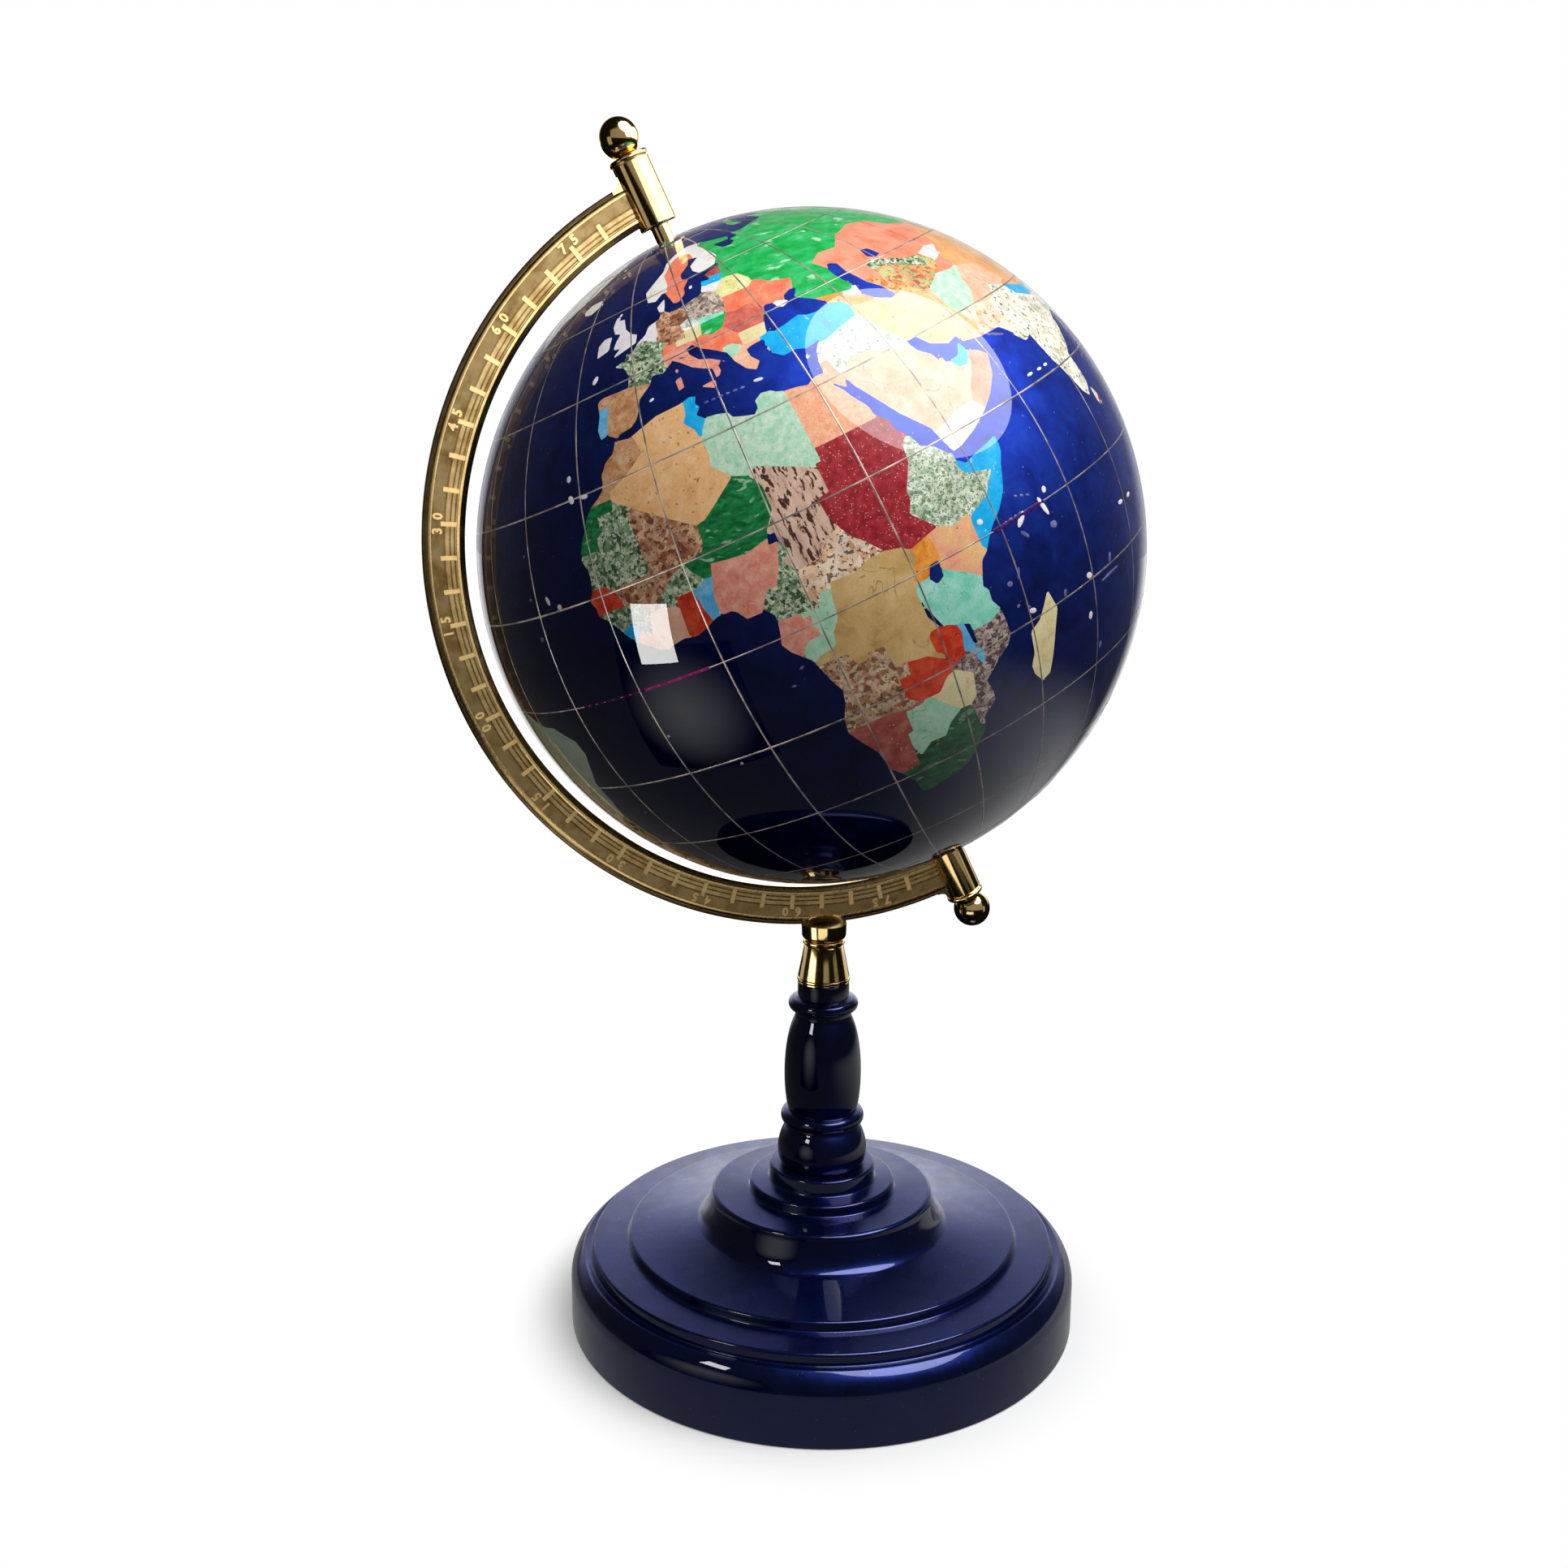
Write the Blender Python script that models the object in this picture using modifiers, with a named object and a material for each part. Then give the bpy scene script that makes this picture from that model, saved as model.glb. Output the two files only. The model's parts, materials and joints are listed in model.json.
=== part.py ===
"""Gemstone desk globe on a turned stand, in metres with +Z up.

The base stands on the plane Z = 0 with the stem's axis on Z. A half ring, cast
with two bored barrels, carries the globe on two pins. The ring lies in the XZ
plane, and the globe's axis leans in that plane, north pole towards -X.
"""
import math

import bmesh
import bpy
from mathutils import Matrix, Vector

MM = 0.001
GAP = 0.3 * MM                     # clearance kept between neighbouring pieces

# The globe and its axis.
GLOBE_RADIUS = 110.0 * MM
AXIS_TILT = math.radians(25.8)
GLOBE_CENTRE = Vector((-6.0 * MM, 0.0, 273.3 * MM))
GLOBE_SEGMENTS = 48
GLOBE_BANDS = 28

# The pins that the globe turns on, measured along the axis from its centre.
PIN_RADIUS = 3.0 * MM
PIN_DEPTH = 7.7 * MM               # how far a pin enters the globe
BALL_RADIUS = 6.5 * MM
TOP_BALL = 143.0 * MM
BOTTOM_BALL = 140.0 * MM
BALL_BANDS = 8
PIN_SEGMENTS = 20

# The half ring and its barrels.
RING_OUTER = 130.05 * MM
RING_INNER = 116.4 * MM
RING_THICKNESS = 4.0 * MM
RING_SHIFT_ACROSS = 3.45 * MM      # ring centre, off the globe's centre to the open side
RING_SHIFT_ALONG = 0.37 * MM       # ring centre, off the globe's centre to the north
RING_SEGMENTS = 48
WEB_RADIUS = 3.2 * MM
BARREL_RADIUS = 6.3 * MM
BARREL_RIM = 0.35 * MM             # how far the rim bead stands out of a barrel
BARREL_RIM_HEIGHT = 1.6 * MM
BARREL_SEGMENTS = 20
TOP_BARREL = (114.6 * MM, 137.2 * MM)
BOTTOM_BARREL = (111.7 * MM, 134.1 * MM)

# The boss under the ring, down to the ferrule.
BOSS_BOTTOM = 139.7 * MM
BOSS_FOOT_RADIUS = 7.1 * MM
BOSS_RADIUS = 8.0 * MM
BOSS_FLARE_TOP = 141.0 * MM
BOSS_SHOULDER = 145.2 * MM
BOSS_TOP = 148.4 * MM
BOSS_CROWN = ((4.4 * MM, BOSS_TOP), (7.2 * MM, 147.4 * MM))

# The brass ferrule.
FERRULE_BOTTOM = 124.0 * MM
FERRULE_FOOT_RADIUS = 9.4 * MM
FERRULE_NECK_RADIUS = 6.9 * MM
FERRULE_NECK = 137.9 * MM
FERRULE_BEAD_RADIUS = 7.5 * MM

# The turned stem.
STEM_BOTTOM = 56.2 * MM
STEM_TOP = 123.7 * MM
STEM_TENON_RADIUS = 9.2 * MM
STEM_TENON_FOOT = 119.6 * MM
UPPER_BEAD = (10.2 * MM, 12.4 * MM, 115.8 * MM, 2.4 * MM)   # edge radius, radius, height, half height
LOWER_BEAD = (13.0 * MM, 14.9 * MM, 73.6 * MM, 2.5 * MM)
VASE_NECK = (10.2 * MM, 110.8 * MM)
VASE_FOOT = (12.6 * MM, 77.2 * MM)
VASE_BELLY = ((14.2 * MM, 102.5 * MM), (14.5 * MM, 86.0 * MM))
BELL_NECK = (13.5 * MM, 69.8 * MM)
BELL_FLANK = ((15.2 * MM, 67.2 * MM), (17.4 * MM, 60.5 * MM))
BELL_RADIUS = 15.0 * MM

# The turned base, from the two discs under the stem down to the wall.
DISC_RADIUS = 19.0 * MM
DISC_TOP = 55.9 * MM
STEP_RADIUS = 26.1 * MM
STEP_TOP = 50.0 * MM
DOME_RADIUS = 39.8 * MM
DOME_TOP = 46.0 * MM
DOME_SHOULDER = (40.0 * MM, 43.5 * MM)
DOME_FLANK = ((41.2 * MM, 40.5 * MM), (42.6 * MM, 34.9 * MM))
DOME_FOOT = (45.6 * MM, 33.9 * MM)
INNER_TIER_RADIUS = 69.8 * MM
INNER_TIER_TOP = 31.6 * MM
OUTER_TIER_RADIUS = 83.1 * MM
OUTER_TIER_TOP = 28.3 * MM
TIER_BATTER = 0.4 * MM             # how much wider a tier is at its foot
SHOULDER_TOP = 24.6 * MM
GROOVE_DEPTH = 0.2 * MM            # the groove between outer tier and shoulder
GROOVE_ROUND = 0.55 * MM
SHOULDER_RADIUS = 86.0 * MM
WALL_RADIUS = 91.0 * MM
WALL_TOP = 19.2 * MM
FOOT_BEVEL = 0.9 * MM
EDGE_ROUND = 0.9 * MM
BASE_SEGMENTS = 44
STEM_SEGMENTS = 28

SHARP_ANGLE = math.radians(32.0)
MERGE = 0.01 * MM


def clear_scene():
    """Remove every object that the file holds."""
    for obj in list(bpy.data.objects):
        bpy.data.objects.remove(obj, do_unlink=True)


def new_collection(name):
    """A collection under the scene's own."""
    collection = bpy.data.collections.new(name)
    bpy.context.scene.collection.children.link(collection)
    return collection


def new_material(name, colour, roughness, metallic):
    """A Principled material with a plain colour."""
    material = bpy.data.materials.new(name)
    material.use_nodes = True
    shader = material.node_tree.nodes["Principled BSDF"]
    shader.inputs["Base Color"].default_value = (*colour, 1.0)
    shader.inputs["Roughness"].default_value = roughness
    shader.inputs["Metallic"].default_value = metallic
    return material


# ---------------------------------------------------------------- outlines

def arc(centre, size, start, end, count):
    """Points of an elliptical arc, its angles in degrees from the first axis."""
    points = []
    for step in range(count + 1):
        angle = math.radians(start + (end - start) * step / count)
        points.append((centre[0] + size[0] * math.cos(angle), centre[1] + size[1] * math.sin(angle)))
    return points


def bezier(start, handles, end, count):
    """Points of a cubic curve, both ends included."""
    corners = [Vector(point) for point in (start, handles[0], handles[1], end)]
    points = []
    for step in range(count + 1):
        t = step / count
        weights = ((1 - t) ** 3, 3 * t * (1 - t) ** 2, 3 * t * t * (1 - t), t ** 3)
        point = sum((weight * corner for weight, corner in zip(weights, corners)), Vector((0.0, 0.0)))
        points.append((point.x, point.y))
    return points


def outer_edge(radius, height, rounding):
    """The rounded outer edge of a turned step, from its top to its side."""
    return arc((radius - rounding, height - rounding), (rounding, rounding), 90.0, 0.0, 2)


def inner_corner(radius, height, rounding):
    """The hollow where a turned step meets the surface below it, from its side outwards."""
    return arc((radius + rounding, height + rounding), (rounding, rounding), 180.0, 270.0, 1)


def bead(size, count):
    """A half-round bead from (edge radius, full radius, middle height, half height)."""
    edge_radius, full_radius, height, half_height = size
    return arc((edge_radius, height), (full_radius - edge_radius, half_height), 90.0, -90.0, count)


def fillet(corner, side_a, side_b, radius, count):
    """A quarter round in a square corner, from its side a to its side b."""
    corner = Vector(corner)
    side_a = Vector(side_a)
    side_b = Vector(side_b)
    centre = corner + radius * (side_a + side_b)
    points = []
    for step in range(count + 1):
        angle = math.radians(90.0) * step / count
        points.append(centre - radius * (side_b * math.cos(angle) + side_a * math.sin(angle)))
    return [(point.x, point.y) for point in points]


# ---------------------------------------------------------------- solids

def turned(name, profile, segments, collection):
    """A solid turned about its own Z from (radius, height) points, listed from top to bottom."""
    mesh = bpy.data.meshes.new(name)
    vertices = [(radius, 0.0, height) for radius, height in profile]
    edges = [(index, index + 1) for index in range(len(profile) - 1)]
    mesh.from_pydata(vertices, edges, [])
    obj = bpy.data.objects.new(name, mesh)
    collection.objects.link(obj)
    screw = obj.modifiers.new("Turn", "SCREW")
    screw.axis = "Z"
    screw.steps = segments
    screw.render_steps = segments
    screw.use_merge_vertices = True
    screw.merge_threshold = MERGE
    return obj


def freeze(obj):
    """Turn an object's modifiers into plain mesh, shaded smooth between its sharp edges."""
    evaluated = obj.evaluated_get(bpy.context.evaluated_depsgraph_get())
    mesh = bpy.data.meshes.new_from_object(evaluated)
    obj.modifiers.clear()
    obj.data = mesh
    mesh.name = obj.name
    mesh.shade_smooth()
    mesh.set_sharp_from_angle(angle=SHARP_ANGLE)
    return obj


def curve_to_mesh(obj, collection):
    """A mesh object in place of a filled curve object, its caps welded."""
    bpy.context.view_layer.update()
    evaluated = obj.evaluated_get(bpy.context.evaluated_depsgraph_get())
    mesh = bpy.data.meshes.new_from_object(evaluated)
    work = bmesh.new()
    work.from_mesh(mesh)
    bmesh.ops.remove_doubles(work, verts=work.verts, dist=MERGE)
    work.to_mesh(mesh)
    work.free()
    name = obj.name
    place = obj.matrix_world.copy()
    bpy.data.objects.remove(obj, do_unlink=True)
    solid = bpy.data.objects.new(name, mesh)
    solid.matrix_world = place
    collection.objects.link(solid)
    return solid


def as_tool(obj):
    """Mark an object as one that only shapes another."""
    obj.hide_render = True
    obj.display_type = "WIRE"
    return obj


def combine(obj, tool, operation):
    """Join a tool to an object, or cut it away."""
    boolean = obj.modifiers.new(tool.name, "BOOLEAN")
    boolean.operation = operation
    boolean.solver = "EXACT"
    boolean.object = tool


def axis_place(towards_north):
    """The place of something on the globe's axis, its own +Z pointing out at one pole."""
    turn = -AXIS_TILT if towards_north else math.pi - AXIS_TILT
    return Matrix.Translation(GLOBE_CENTRE) @ Matrix.Rotation(turn, 4, "Y")


# ---------------------------------------------------------------- the pieces

def make_base(collection, material):
    """The stepped base with its dome and two discs, turned in one."""
    profile = [(0.0, DISC_TOP)]
    profile += outer_edge(DISC_RADIUS, DISC_TOP, EDGE_ROUND)
    profile += inner_corner(DISC_RADIUS, STEP_TOP, EDGE_ROUND)
    profile += outer_edge(STEP_RADIUS, STEP_TOP, EDGE_ROUND)
    profile += inner_corner(STEP_RADIUS, DOME_TOP, EDGE_ROUND)
    profile += outer_edge(DOME_RADIUS, DOME_TOP, 1.5 * EDGE_ROUND)
    profile += bezier(DOME_SHOULDER, DOME_FLANK, DOME_FOOT, 4)
    profile += outer_edge(INNER_TIER_RADIUS, INNER_TIER_TOP, EDGE_ROUND)
    profile += inner_corner(INNER_TIER_RADIUS + TIER_BATTER, OUTER_TIER_TOP, EDGE_ROUND)
    profile += outer_edge(OUTER_TIER_RADIUS, OUTER_TIER_TOP, EDGE_ROUND)
    profile += inner_corner(OUTER_TIER_RADIUS + TIER_BATTER, SHOULDER_TOP - GROOVE_DEPTH, GROOVE_ROUND)
    shoulder = (WALL_RADIUS - SHOULDER_RADIUS, SHOULDER_TOP - WALL_TOP)
    profile += arc((SHOULDER_RADIUS, WALL_TOP), shoulder, 90.0, 0.0, 4)
    profile.append((WALL_RADIUS, FOOT_BEVEL))
    profile.append((WALL_RADIUS - FOOT_BEVEL, 0.0))
    profile.append((0.0, 0.0))
    base = freeze(turned("base", profile, BASE_SEGMENTS, collection))
    base.data.materials.append(material)
    return base


def make_stem(collection, material):
    """The turned baluster: tenon, bead, vase, bead and bell."""
    profile = [(0.0, STEM_TOP), (STEM_TENON_RADIUS, STEM_TOP), (STEM_TENON_RADIUS, STEM_TENON_FOOT)]
    profile += bead(UPPER_BEAD, 4)
    profile += bezier(VASE_NECK, VASE_BELLY, VASE_FOOT, 7)
    profile += bead(LOWER_BEAD, 4)
    profile += bezier(BELL_NECK, BELL_FLANK, (BELL_RADIUS, STEM_BOTTOM), 5)
    profile.append((0.0, STEM_BOTTOM))
    stem = freeze(turned("stem", profile, STEM_SEGMENTS, collection))
    stem.data.materials.append(material)
    return stem


def make_ferrule(collection, material):
    """The brass cone between the stem and the ring's boss, with a bead at its top."""
    top = BOSS_BOTTOM - GAP
    middle = 0.5 * (top + FERRULE_NECK)
    profile = [(0.0, top), (FERRULE_NECK_RADIUS, top)]
    profile += [(FERRULE_BEAD_RADIUS, middle), (FERRULE_NECK_RADIUS, FERRULE_NECK)]
    profile += [(FERRULE_FOOT_RADIUS, FERRULE_BOTTOM), (0.0, FERRULE_BOTTOM)]
    ferrule = freeze(turned("ferrule", profile, STEM_SEGMENTS, collection))
    ferrule.data.materials.append(material)
    return ferrule


def ring_height(radius, across):
    """Distance from the globe's centre line to an edge of the ring, at a place across the axis."""
    offset = across - RING_SHIFT_ACROSS
    return math.sqrt(radius * radius - offset * offset)


def ring_arc(radius, across_top, across_bottom):
    """Points along an edge of the half ring, from its north end round the closed side."""
    start = math.degrees(math.acos((across_top - RING_SHIFT_ACROSS) / radius))
    end = 360.0 - math.degrees(math.acos((across_bottom - RING_SHIFT_ACROSS) / radius))
    centre = (RING_SHIFT_ACROSS, RING_SHIFT_ALONG)
    return arc(centre, (radius, radius), start, end, RING_SEGMENTS)


def ring_outline():
    """The half ring's outline across and along the axis, with a web at each barrel."""
    side = -BARREL_RADIUS
    left = (-1.0, 0.0)
    up = (0.0, 1.0)
    down = (0.0, -1.0)
    web_end = side - WEB_RADIUS
    outer_top = RING_SHIFT_ALONG + ring_height(RING_OUTER, web_end)
    outer_bottom = RING_SHIFT_ALONG - ring_height(RING_OUTER, web_end)
    inner_bottom = RING_SHIFT_ALONG - ring_height(RING_INNER, web_end)
    inner_top = RING_SHIFT_ALONG + ring_height(RING_INNER, side)
    outline = [(0.0, outer_top + WEB_RADIUS)]
    outline += fillet((side, outer_top), up, left, WEB_RADIUS, 4)
    outline += ring_arc(RING_OUTER, web_end, web_end)[1:-1]
    outline += fillet((side, outer_bottom), left, down, WEB_RADIUS, 4)
    outline += [(0.0, outer_bottom - WEB_RADIUS), (0.0, inner_bottom + WEB_RADIUS)]
    outline += fillet((side, inner_bottom), up, left, WEB_RADIUS, 4)
    outline += list(reversed(ring_arc(RING_INNER, side, web_end)))[1:]
    outline.append((0.0, inner_top))
    return outline


def make_ring_plate(collection):
    """The flat half ring, a filled outline with its thickness."""
    curve = bpy.data.curves.new("meridian_arm", "CURVE")
    curve.dimensions = "2D"
    curve.fill_mode = "BOTH"
    curve.extrude = 0.5 * RING_THICKNESS
    outline = ring_outline()
    spline = curve.splines.new("POLY")
    spline.points.add(len(outline) - 1)
    for point, (across, along) in zip(spline.points, outline):
        point.co = (across, along, 0.0, 1.0)
    spline.use_cyclic_u = True
    obj = bpy.data.objects.new("meridian_arm", curve)
    obj.matrix_world = axis_place(True) @ Matrix.Rotation(math.radians(90.0), 4, "X")
    collection.objects.link(obj)
    return curve_to_mesh(obj, collection)


def make_barrel(name, span, towards_north, collection):
    """A barrel on the globe's axis, with a rim bead at its outer end."""
    inner, outer = span
    rim = BARREL_RADIUS + BARREL_RIM
    profile = [(0.0, outer), (BARREL_RADIUS, outer), (rim, outer - 0.3 * BARREL_RIM_HEIGHT)]
    profile += [(rim, outer - 0.7 * BARREL_RIM_HEIGHT), (BARREL_RADIUS, outer - BARREL_RIM_HEIGHT)]
    profile += [(BARREL_RADIUS, inner + EDGE_ROUND), (BARREL_RADIUS - EDGE_ROUND, inner), (0.0, inner)]
    barrel = turned(name, profile, BARREL_SEGMENTS, collection)
    barrel.matrix_world = axis_place(towards_north)
    return as_tool(barrel)


def make_bore(name, towards_north, collection):
    """A cutter for the hole that a pin passes through a barrel."""
    start = GLOBE_RADIUS
    end = TOP_BALL
    work = bmesh.new()
    radius = PIN_RADIUS + GAP
    middle = Matrix.Translation((0.0, 0.0, 0.5 * (start + end)))
    bmesh.ops.create_cone(work, cap_ends=True, segments=PIN_SEGMENTS, radius1=radius, radius2=radius,
                          depth=end - start, matrix=middle)
    mesh = bpy.data.meshes.new(name)
    work.to_mesh(mesh)
    work.free()
    bore = bpy.data.objects.new(name, mesh)
    bore.matrix_world = axis_place(towards_north)
    collection.objects.link(bore)
    return as_tool(bore)


def make_boss(collection):
    """The boss under the ring: a flare that rounds over onto the ring's faces."""
    profile = bezier((0.0, BOSS_TOP), BOSS_CROWN, (BOSS_RADIUS, BOSS_SHOULDER), 5)
    profile += [(BOSS_RADIUS, BOSS_FLARE_TOP), (BOSS_FOOT_RADIUS, BOSS_BOTTOM), (0.0, BOSS_BOTTOM)]
    return as_tool(turned("boss_tool", profile, BARREL_SEGMENTS, collection))


def make_arm(collection, tools, material):
    """The meridian arm: half ring, two bored barrels and the boss, cast in one."""
    arm = make_ring_plate(collection)
    combine(arm, make_boss(tools), "UNION")
    combine(arm, make_barrel("top_barrel_tool", TOP_BARREL, True, tools), "UNION")
    combine(arm, make_barrel("bottom_barrel_tool", BOTTOM_BARREL, False, tools), "UNION")
    combine(arm, make_bore("top_bore_tool", True, tools), "DIFFERENCE")
    combine(arm, make_bore("bottom_bore_tool", False, tools), "DIFFERENCE")
    freeze(arm)
    arm.data.materials.append(material)
    return arm


def make_pin(name, ball_centre, towards_north, collection, material):
    """A pivot pin: a ball with a plain shank that runs through a barrel into the globe."""
    shank = -math.degrees(math.acos(PIN_RADIUS / BALL_RADIUS))
    end = GLOBE_RADIUS - PIN_DEPTH
    profile = arc((0.0, ball_centre), (BALL_RADIUS, BALL_RADIUS), 90.0, shank, BALL_BANDS)
    profile[0] = (0.0, ball_centre + BALL_RADIUS)
    profile += [(PIN_RADIUS, end + GAP), (PIN_RADIUS - GAP, end), (0.0, end)]
    pin = freeze(turned(name, profile, PIN_SEGMENTS, collection))
    pin.matrix_world = axis_place(towards_north)
    pin.data.materials.append(material)
    return pin


def make_globe(collection, material):
    """The sphere, turned about its axis with a blind pivot hole at each pole."""
    hole = PIN_RADIUS + GAP
    floor = GLOBE_RADIUS - PIN_DEPTH - GAP
    polar = math.degrees(math.acos(hole / GLOBE_RADIUS))
    profile = [(0.0, floor), (hole, floor)]
    profile += arc((0.0, 0.0), (GLOBE_RADIUS, GLOBE_RADIUS), polar, -polar, GLOBE_BANDS)
    profile += [(hole, -floor), (0.0, -floor)]
    globe = freeze(turned("globe", profile, GLOBE_SEGMENTS, collection))
    globe.matrix_world = axis_place(True)
    globe.data.materials.append(material)
    return globe


def main():
    """Build the whole globe."""
    clear_scene()
    parts = new_collection("gemstone_desk_globe")
    tools = new_collection("cutters")
    lacquer = new_material("navy_lacquer", (0.012, 0.020, 0.085), 0.10, 0.0)
    brass = new_material("polished_brass", (0.78, 0.58, 0.30), 0.22, 1.0)
    stone = new_material("lapis_and_stone_inlay", (0.012, 0.030, 0.190), 0.12, 0.0)
    make_base(parts, lacquer)
    make_stem(parts, lacquer)
    make_ferrule(parts, brass)
    make_arm(parts, tools, brass)
    make_pin("top_pivot_pin", TOP_BALL, True, parts, brass)
    make_pin("bottom_pivot_pin", BOTTOM_BALL, False, parts, brass)
    make_globe(parts, stone)


main()
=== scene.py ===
"""Finish of a gemstone desk globe on a turned stand, laid out as a Blender add-on.

The sphere is a mosaic of cut stones set in a lapis sea, with fine brass wires for
latitude and longitude. A cast half ring with a degree scale carries it on two ball
pins, above a brass ferrule, a turned stem and a stepped base in gloss navy lacquer.
"""
import json
import math
import random

import bmesh
import bpy
import numpy as np
from mathutils import Matrix, Vector


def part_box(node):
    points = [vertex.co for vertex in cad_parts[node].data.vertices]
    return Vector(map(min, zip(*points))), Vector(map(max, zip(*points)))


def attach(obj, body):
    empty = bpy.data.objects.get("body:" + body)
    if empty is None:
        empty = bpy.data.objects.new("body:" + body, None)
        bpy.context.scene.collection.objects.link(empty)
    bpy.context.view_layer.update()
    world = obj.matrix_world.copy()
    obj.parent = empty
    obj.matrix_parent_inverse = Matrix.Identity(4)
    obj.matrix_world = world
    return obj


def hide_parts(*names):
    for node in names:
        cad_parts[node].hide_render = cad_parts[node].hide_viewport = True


bl_info = {
    "name": "Gemstone Desk Globe",
    "version": (1, 0, 0),
    "blender": (4, 5, 0),
    "location": "3D View > Sidebar > Globe",
    "description": "Finishes a gemstone desk globe on its turned stand",
    "category": "Add Mesh",
}

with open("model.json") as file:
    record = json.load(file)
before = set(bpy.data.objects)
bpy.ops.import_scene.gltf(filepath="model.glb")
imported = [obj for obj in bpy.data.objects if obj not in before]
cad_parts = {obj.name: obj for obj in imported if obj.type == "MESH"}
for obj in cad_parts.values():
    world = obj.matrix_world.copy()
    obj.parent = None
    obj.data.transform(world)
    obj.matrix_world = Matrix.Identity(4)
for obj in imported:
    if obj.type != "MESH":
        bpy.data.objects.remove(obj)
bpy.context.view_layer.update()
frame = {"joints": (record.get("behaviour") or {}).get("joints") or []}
MM = 0.001

# Places that follow from the frame.
SPIN = next(joint for joint in frame["joints"] if joint["name"] == "globe_spin")
CENTRE = Vector(SPIN["pos_m"])
POLE = Vector(SPIN["axis"]).normalized()
ACROSS = Vector((POLE.z, 0.0, -POLE.x))          # square to the axis, towards the ring's open side
SPHERE_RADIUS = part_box("globe")[1].y - 0.1 * MM
BASE_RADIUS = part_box("base")[1].y
BASE_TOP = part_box("base")[1].z
STEM_FOOT, STEM_TOP = (corner.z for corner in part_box("stem"))
FERRULE_FOOT, FERRULE_TOP = (corner.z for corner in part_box("ferrule"))

# The stand's own sizes.
RING_OUTER = 129.95 * MM
RING_INNER = 116.45 * MM
RING_HALF = 1.98 * MM                            # half the ring's thickness
RING_ACROSS = 3.45 * MM                          # from the globe's centre to the ring's, across the axis
RING_ALONG = 0.37 * MM                           # and along it
RING_CENTRE = CENTRE + RING_ACROSS * ACROSS + RING_ALONG * POLE
BARREL_RADIUS = 6.25 * MM
BORE_RADIUS = 3.3 * MM
TOP_BARREL = (114.6 * MM, 137.2 * MM)
BOTTOM_BARREL = (111.7 * MM, 134.1 * MM)
RING_END_ACROSS = 4.2 * MM                       # the ring ends inside a barrel's wall
WEB_RADIUS = 3.2 * MM
BALL_RADIUS = 6.45 * MM
PIN_RADIUS = 3.0 * MM
TOP_BALL = 143.0 * MM
BOTTOM_BALL = 140.0 * MM
PIN_FOOT = 102.4 * MM                            # where a pin ends inside the globe
HOLE_FLOOR = 102.0 * MM

# The map on the sphere: where longitude zero faces when the globe is at rest.
MAP_TURN = math.radians(-29.4)
GRATICULE_STEP = 15


# ---------------------------------------------------------------- mesh helpers

def placed(centre, first, second, third):
    """The place at a centre whose own axes point along three directions."""
    return Matrix.Translation(centre) @ Matrix((first, second, third)).transposed().to_4x4()


def axis_place(towards_north):
    """The place of something on the globe's axis, its own +Z pointing out at one pole."""
    out = POLE if towards_north else -POLE
    side = Vector((0.0, 1.0, 0.0))
    return placed(CENTRE, side.cross(out), side, out)


def globe_place():
    """The globe's own frame: +Z to the north pole and +X to longitude zero."""
    south_face = Vector((0.0, -1.0, 0.0))
    first = math.cos(MAP_TURN) * south_face + math.sin(MAP_TURN) * POLE.cross(south_face)
    return placed(CENTRE, first, POLE.cross(first), POLE)


def ring_place():
    """The half ring's frame: +X across to the open side, +Y along the axis, +Z to the front."""
    return placed(RING_CENTRE, ACROSS, POLE, ACROSS.cross(POLE))


def link(obj):
    """Put an object in the scene."""
    bpy.context.scene.collection.objects.link(obj)
    return obj


def mesh_object(name, work):
    """An object at the origin from a bmesh, which is freed."""
    mesh = bpy.data.meshes.new(name)
    work.to_mesh(mesh)
    work.free()
    return link(bpy.data.objects.new(name, mesh))


def evaluated_mesh(obj):
    """A plain mesh of an object as its modifiers leave it."""
    bpy.context.view_layer.update()
    evaluated = obj.evaluated_get(bpy.context.evaluated_depsgraph_get())
    return bpy.data.meshes.new_from_object(evaluated)


def smooth(obj, angle=32.0):
    """Shade an object smooth between its sharp edges."""
    obj.data.shade_smooth()
    obj.data.set_sharp_from_angle(angle=math.radians(angle))
    return obj


def set_material(obj, *materials):
    """Give an object its materials, in order."""
    obj.data.materials.clear()
    for material in materials:
        obj.data.materials.append(material)
    return obj


def turned(name, profile, steps, place=Matrix.Identity(4)):
    """A closed solid turned about Z from (radius, height) points, listed from top to bottom."""
    work = bmesh.new()
    vertices = [work.verts.new((radius, 0.0, height)) for radius, height in profile]
    edges = [work.edges.new(pair) for pair in zip(vertices, vertices[1:])]
    bmesh.ops.spin(work, geom=vertices + edges, cent=(0, 0, 0), axis=(0, 0, 1), angle=math.tau,
                   steps=steps, use_merge=True)
    bmesh.ops.remove_doubles(work, verts=work.verts, dist=0.0005 * MM)
    bmesh.ops.recalc_face_normals(work, faces=work.faces)
    work.transform(place)
    return mesh_object(name, work)


def from_curve(curve):
    """A bmesh of a curve or a text, which is used up."""
    obj = link(bpy.data.objects.new(curve.name, curve))
    mesh = evaluated_mesh(obj)
    bpy.data.objects.remove(obj)
    work = bmesh.new()
    work.from_mesh(mesh)
    bpy.data.meshes.remove(mesh)
    bmesh.ops.remove_doubles(work, verts=work.verts, dist=0.001 * MM)
    return work


def combine(obj, tool, operation):
    """Join a tool to an object, or cut it away, and use the tool up."""
    boolean = obj.modifiers.new(tool.name, "BOOLEAN")
    boolean.operation = operation
    boolean.solver = "EXACT"
    boolean.object = tool
    mesh = evaluated_mesh(obj)
    obj.modifiers.clear()
    obj.data = mesh
    bpy.data.objects.remove(tool, do_unlink=True)


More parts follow.
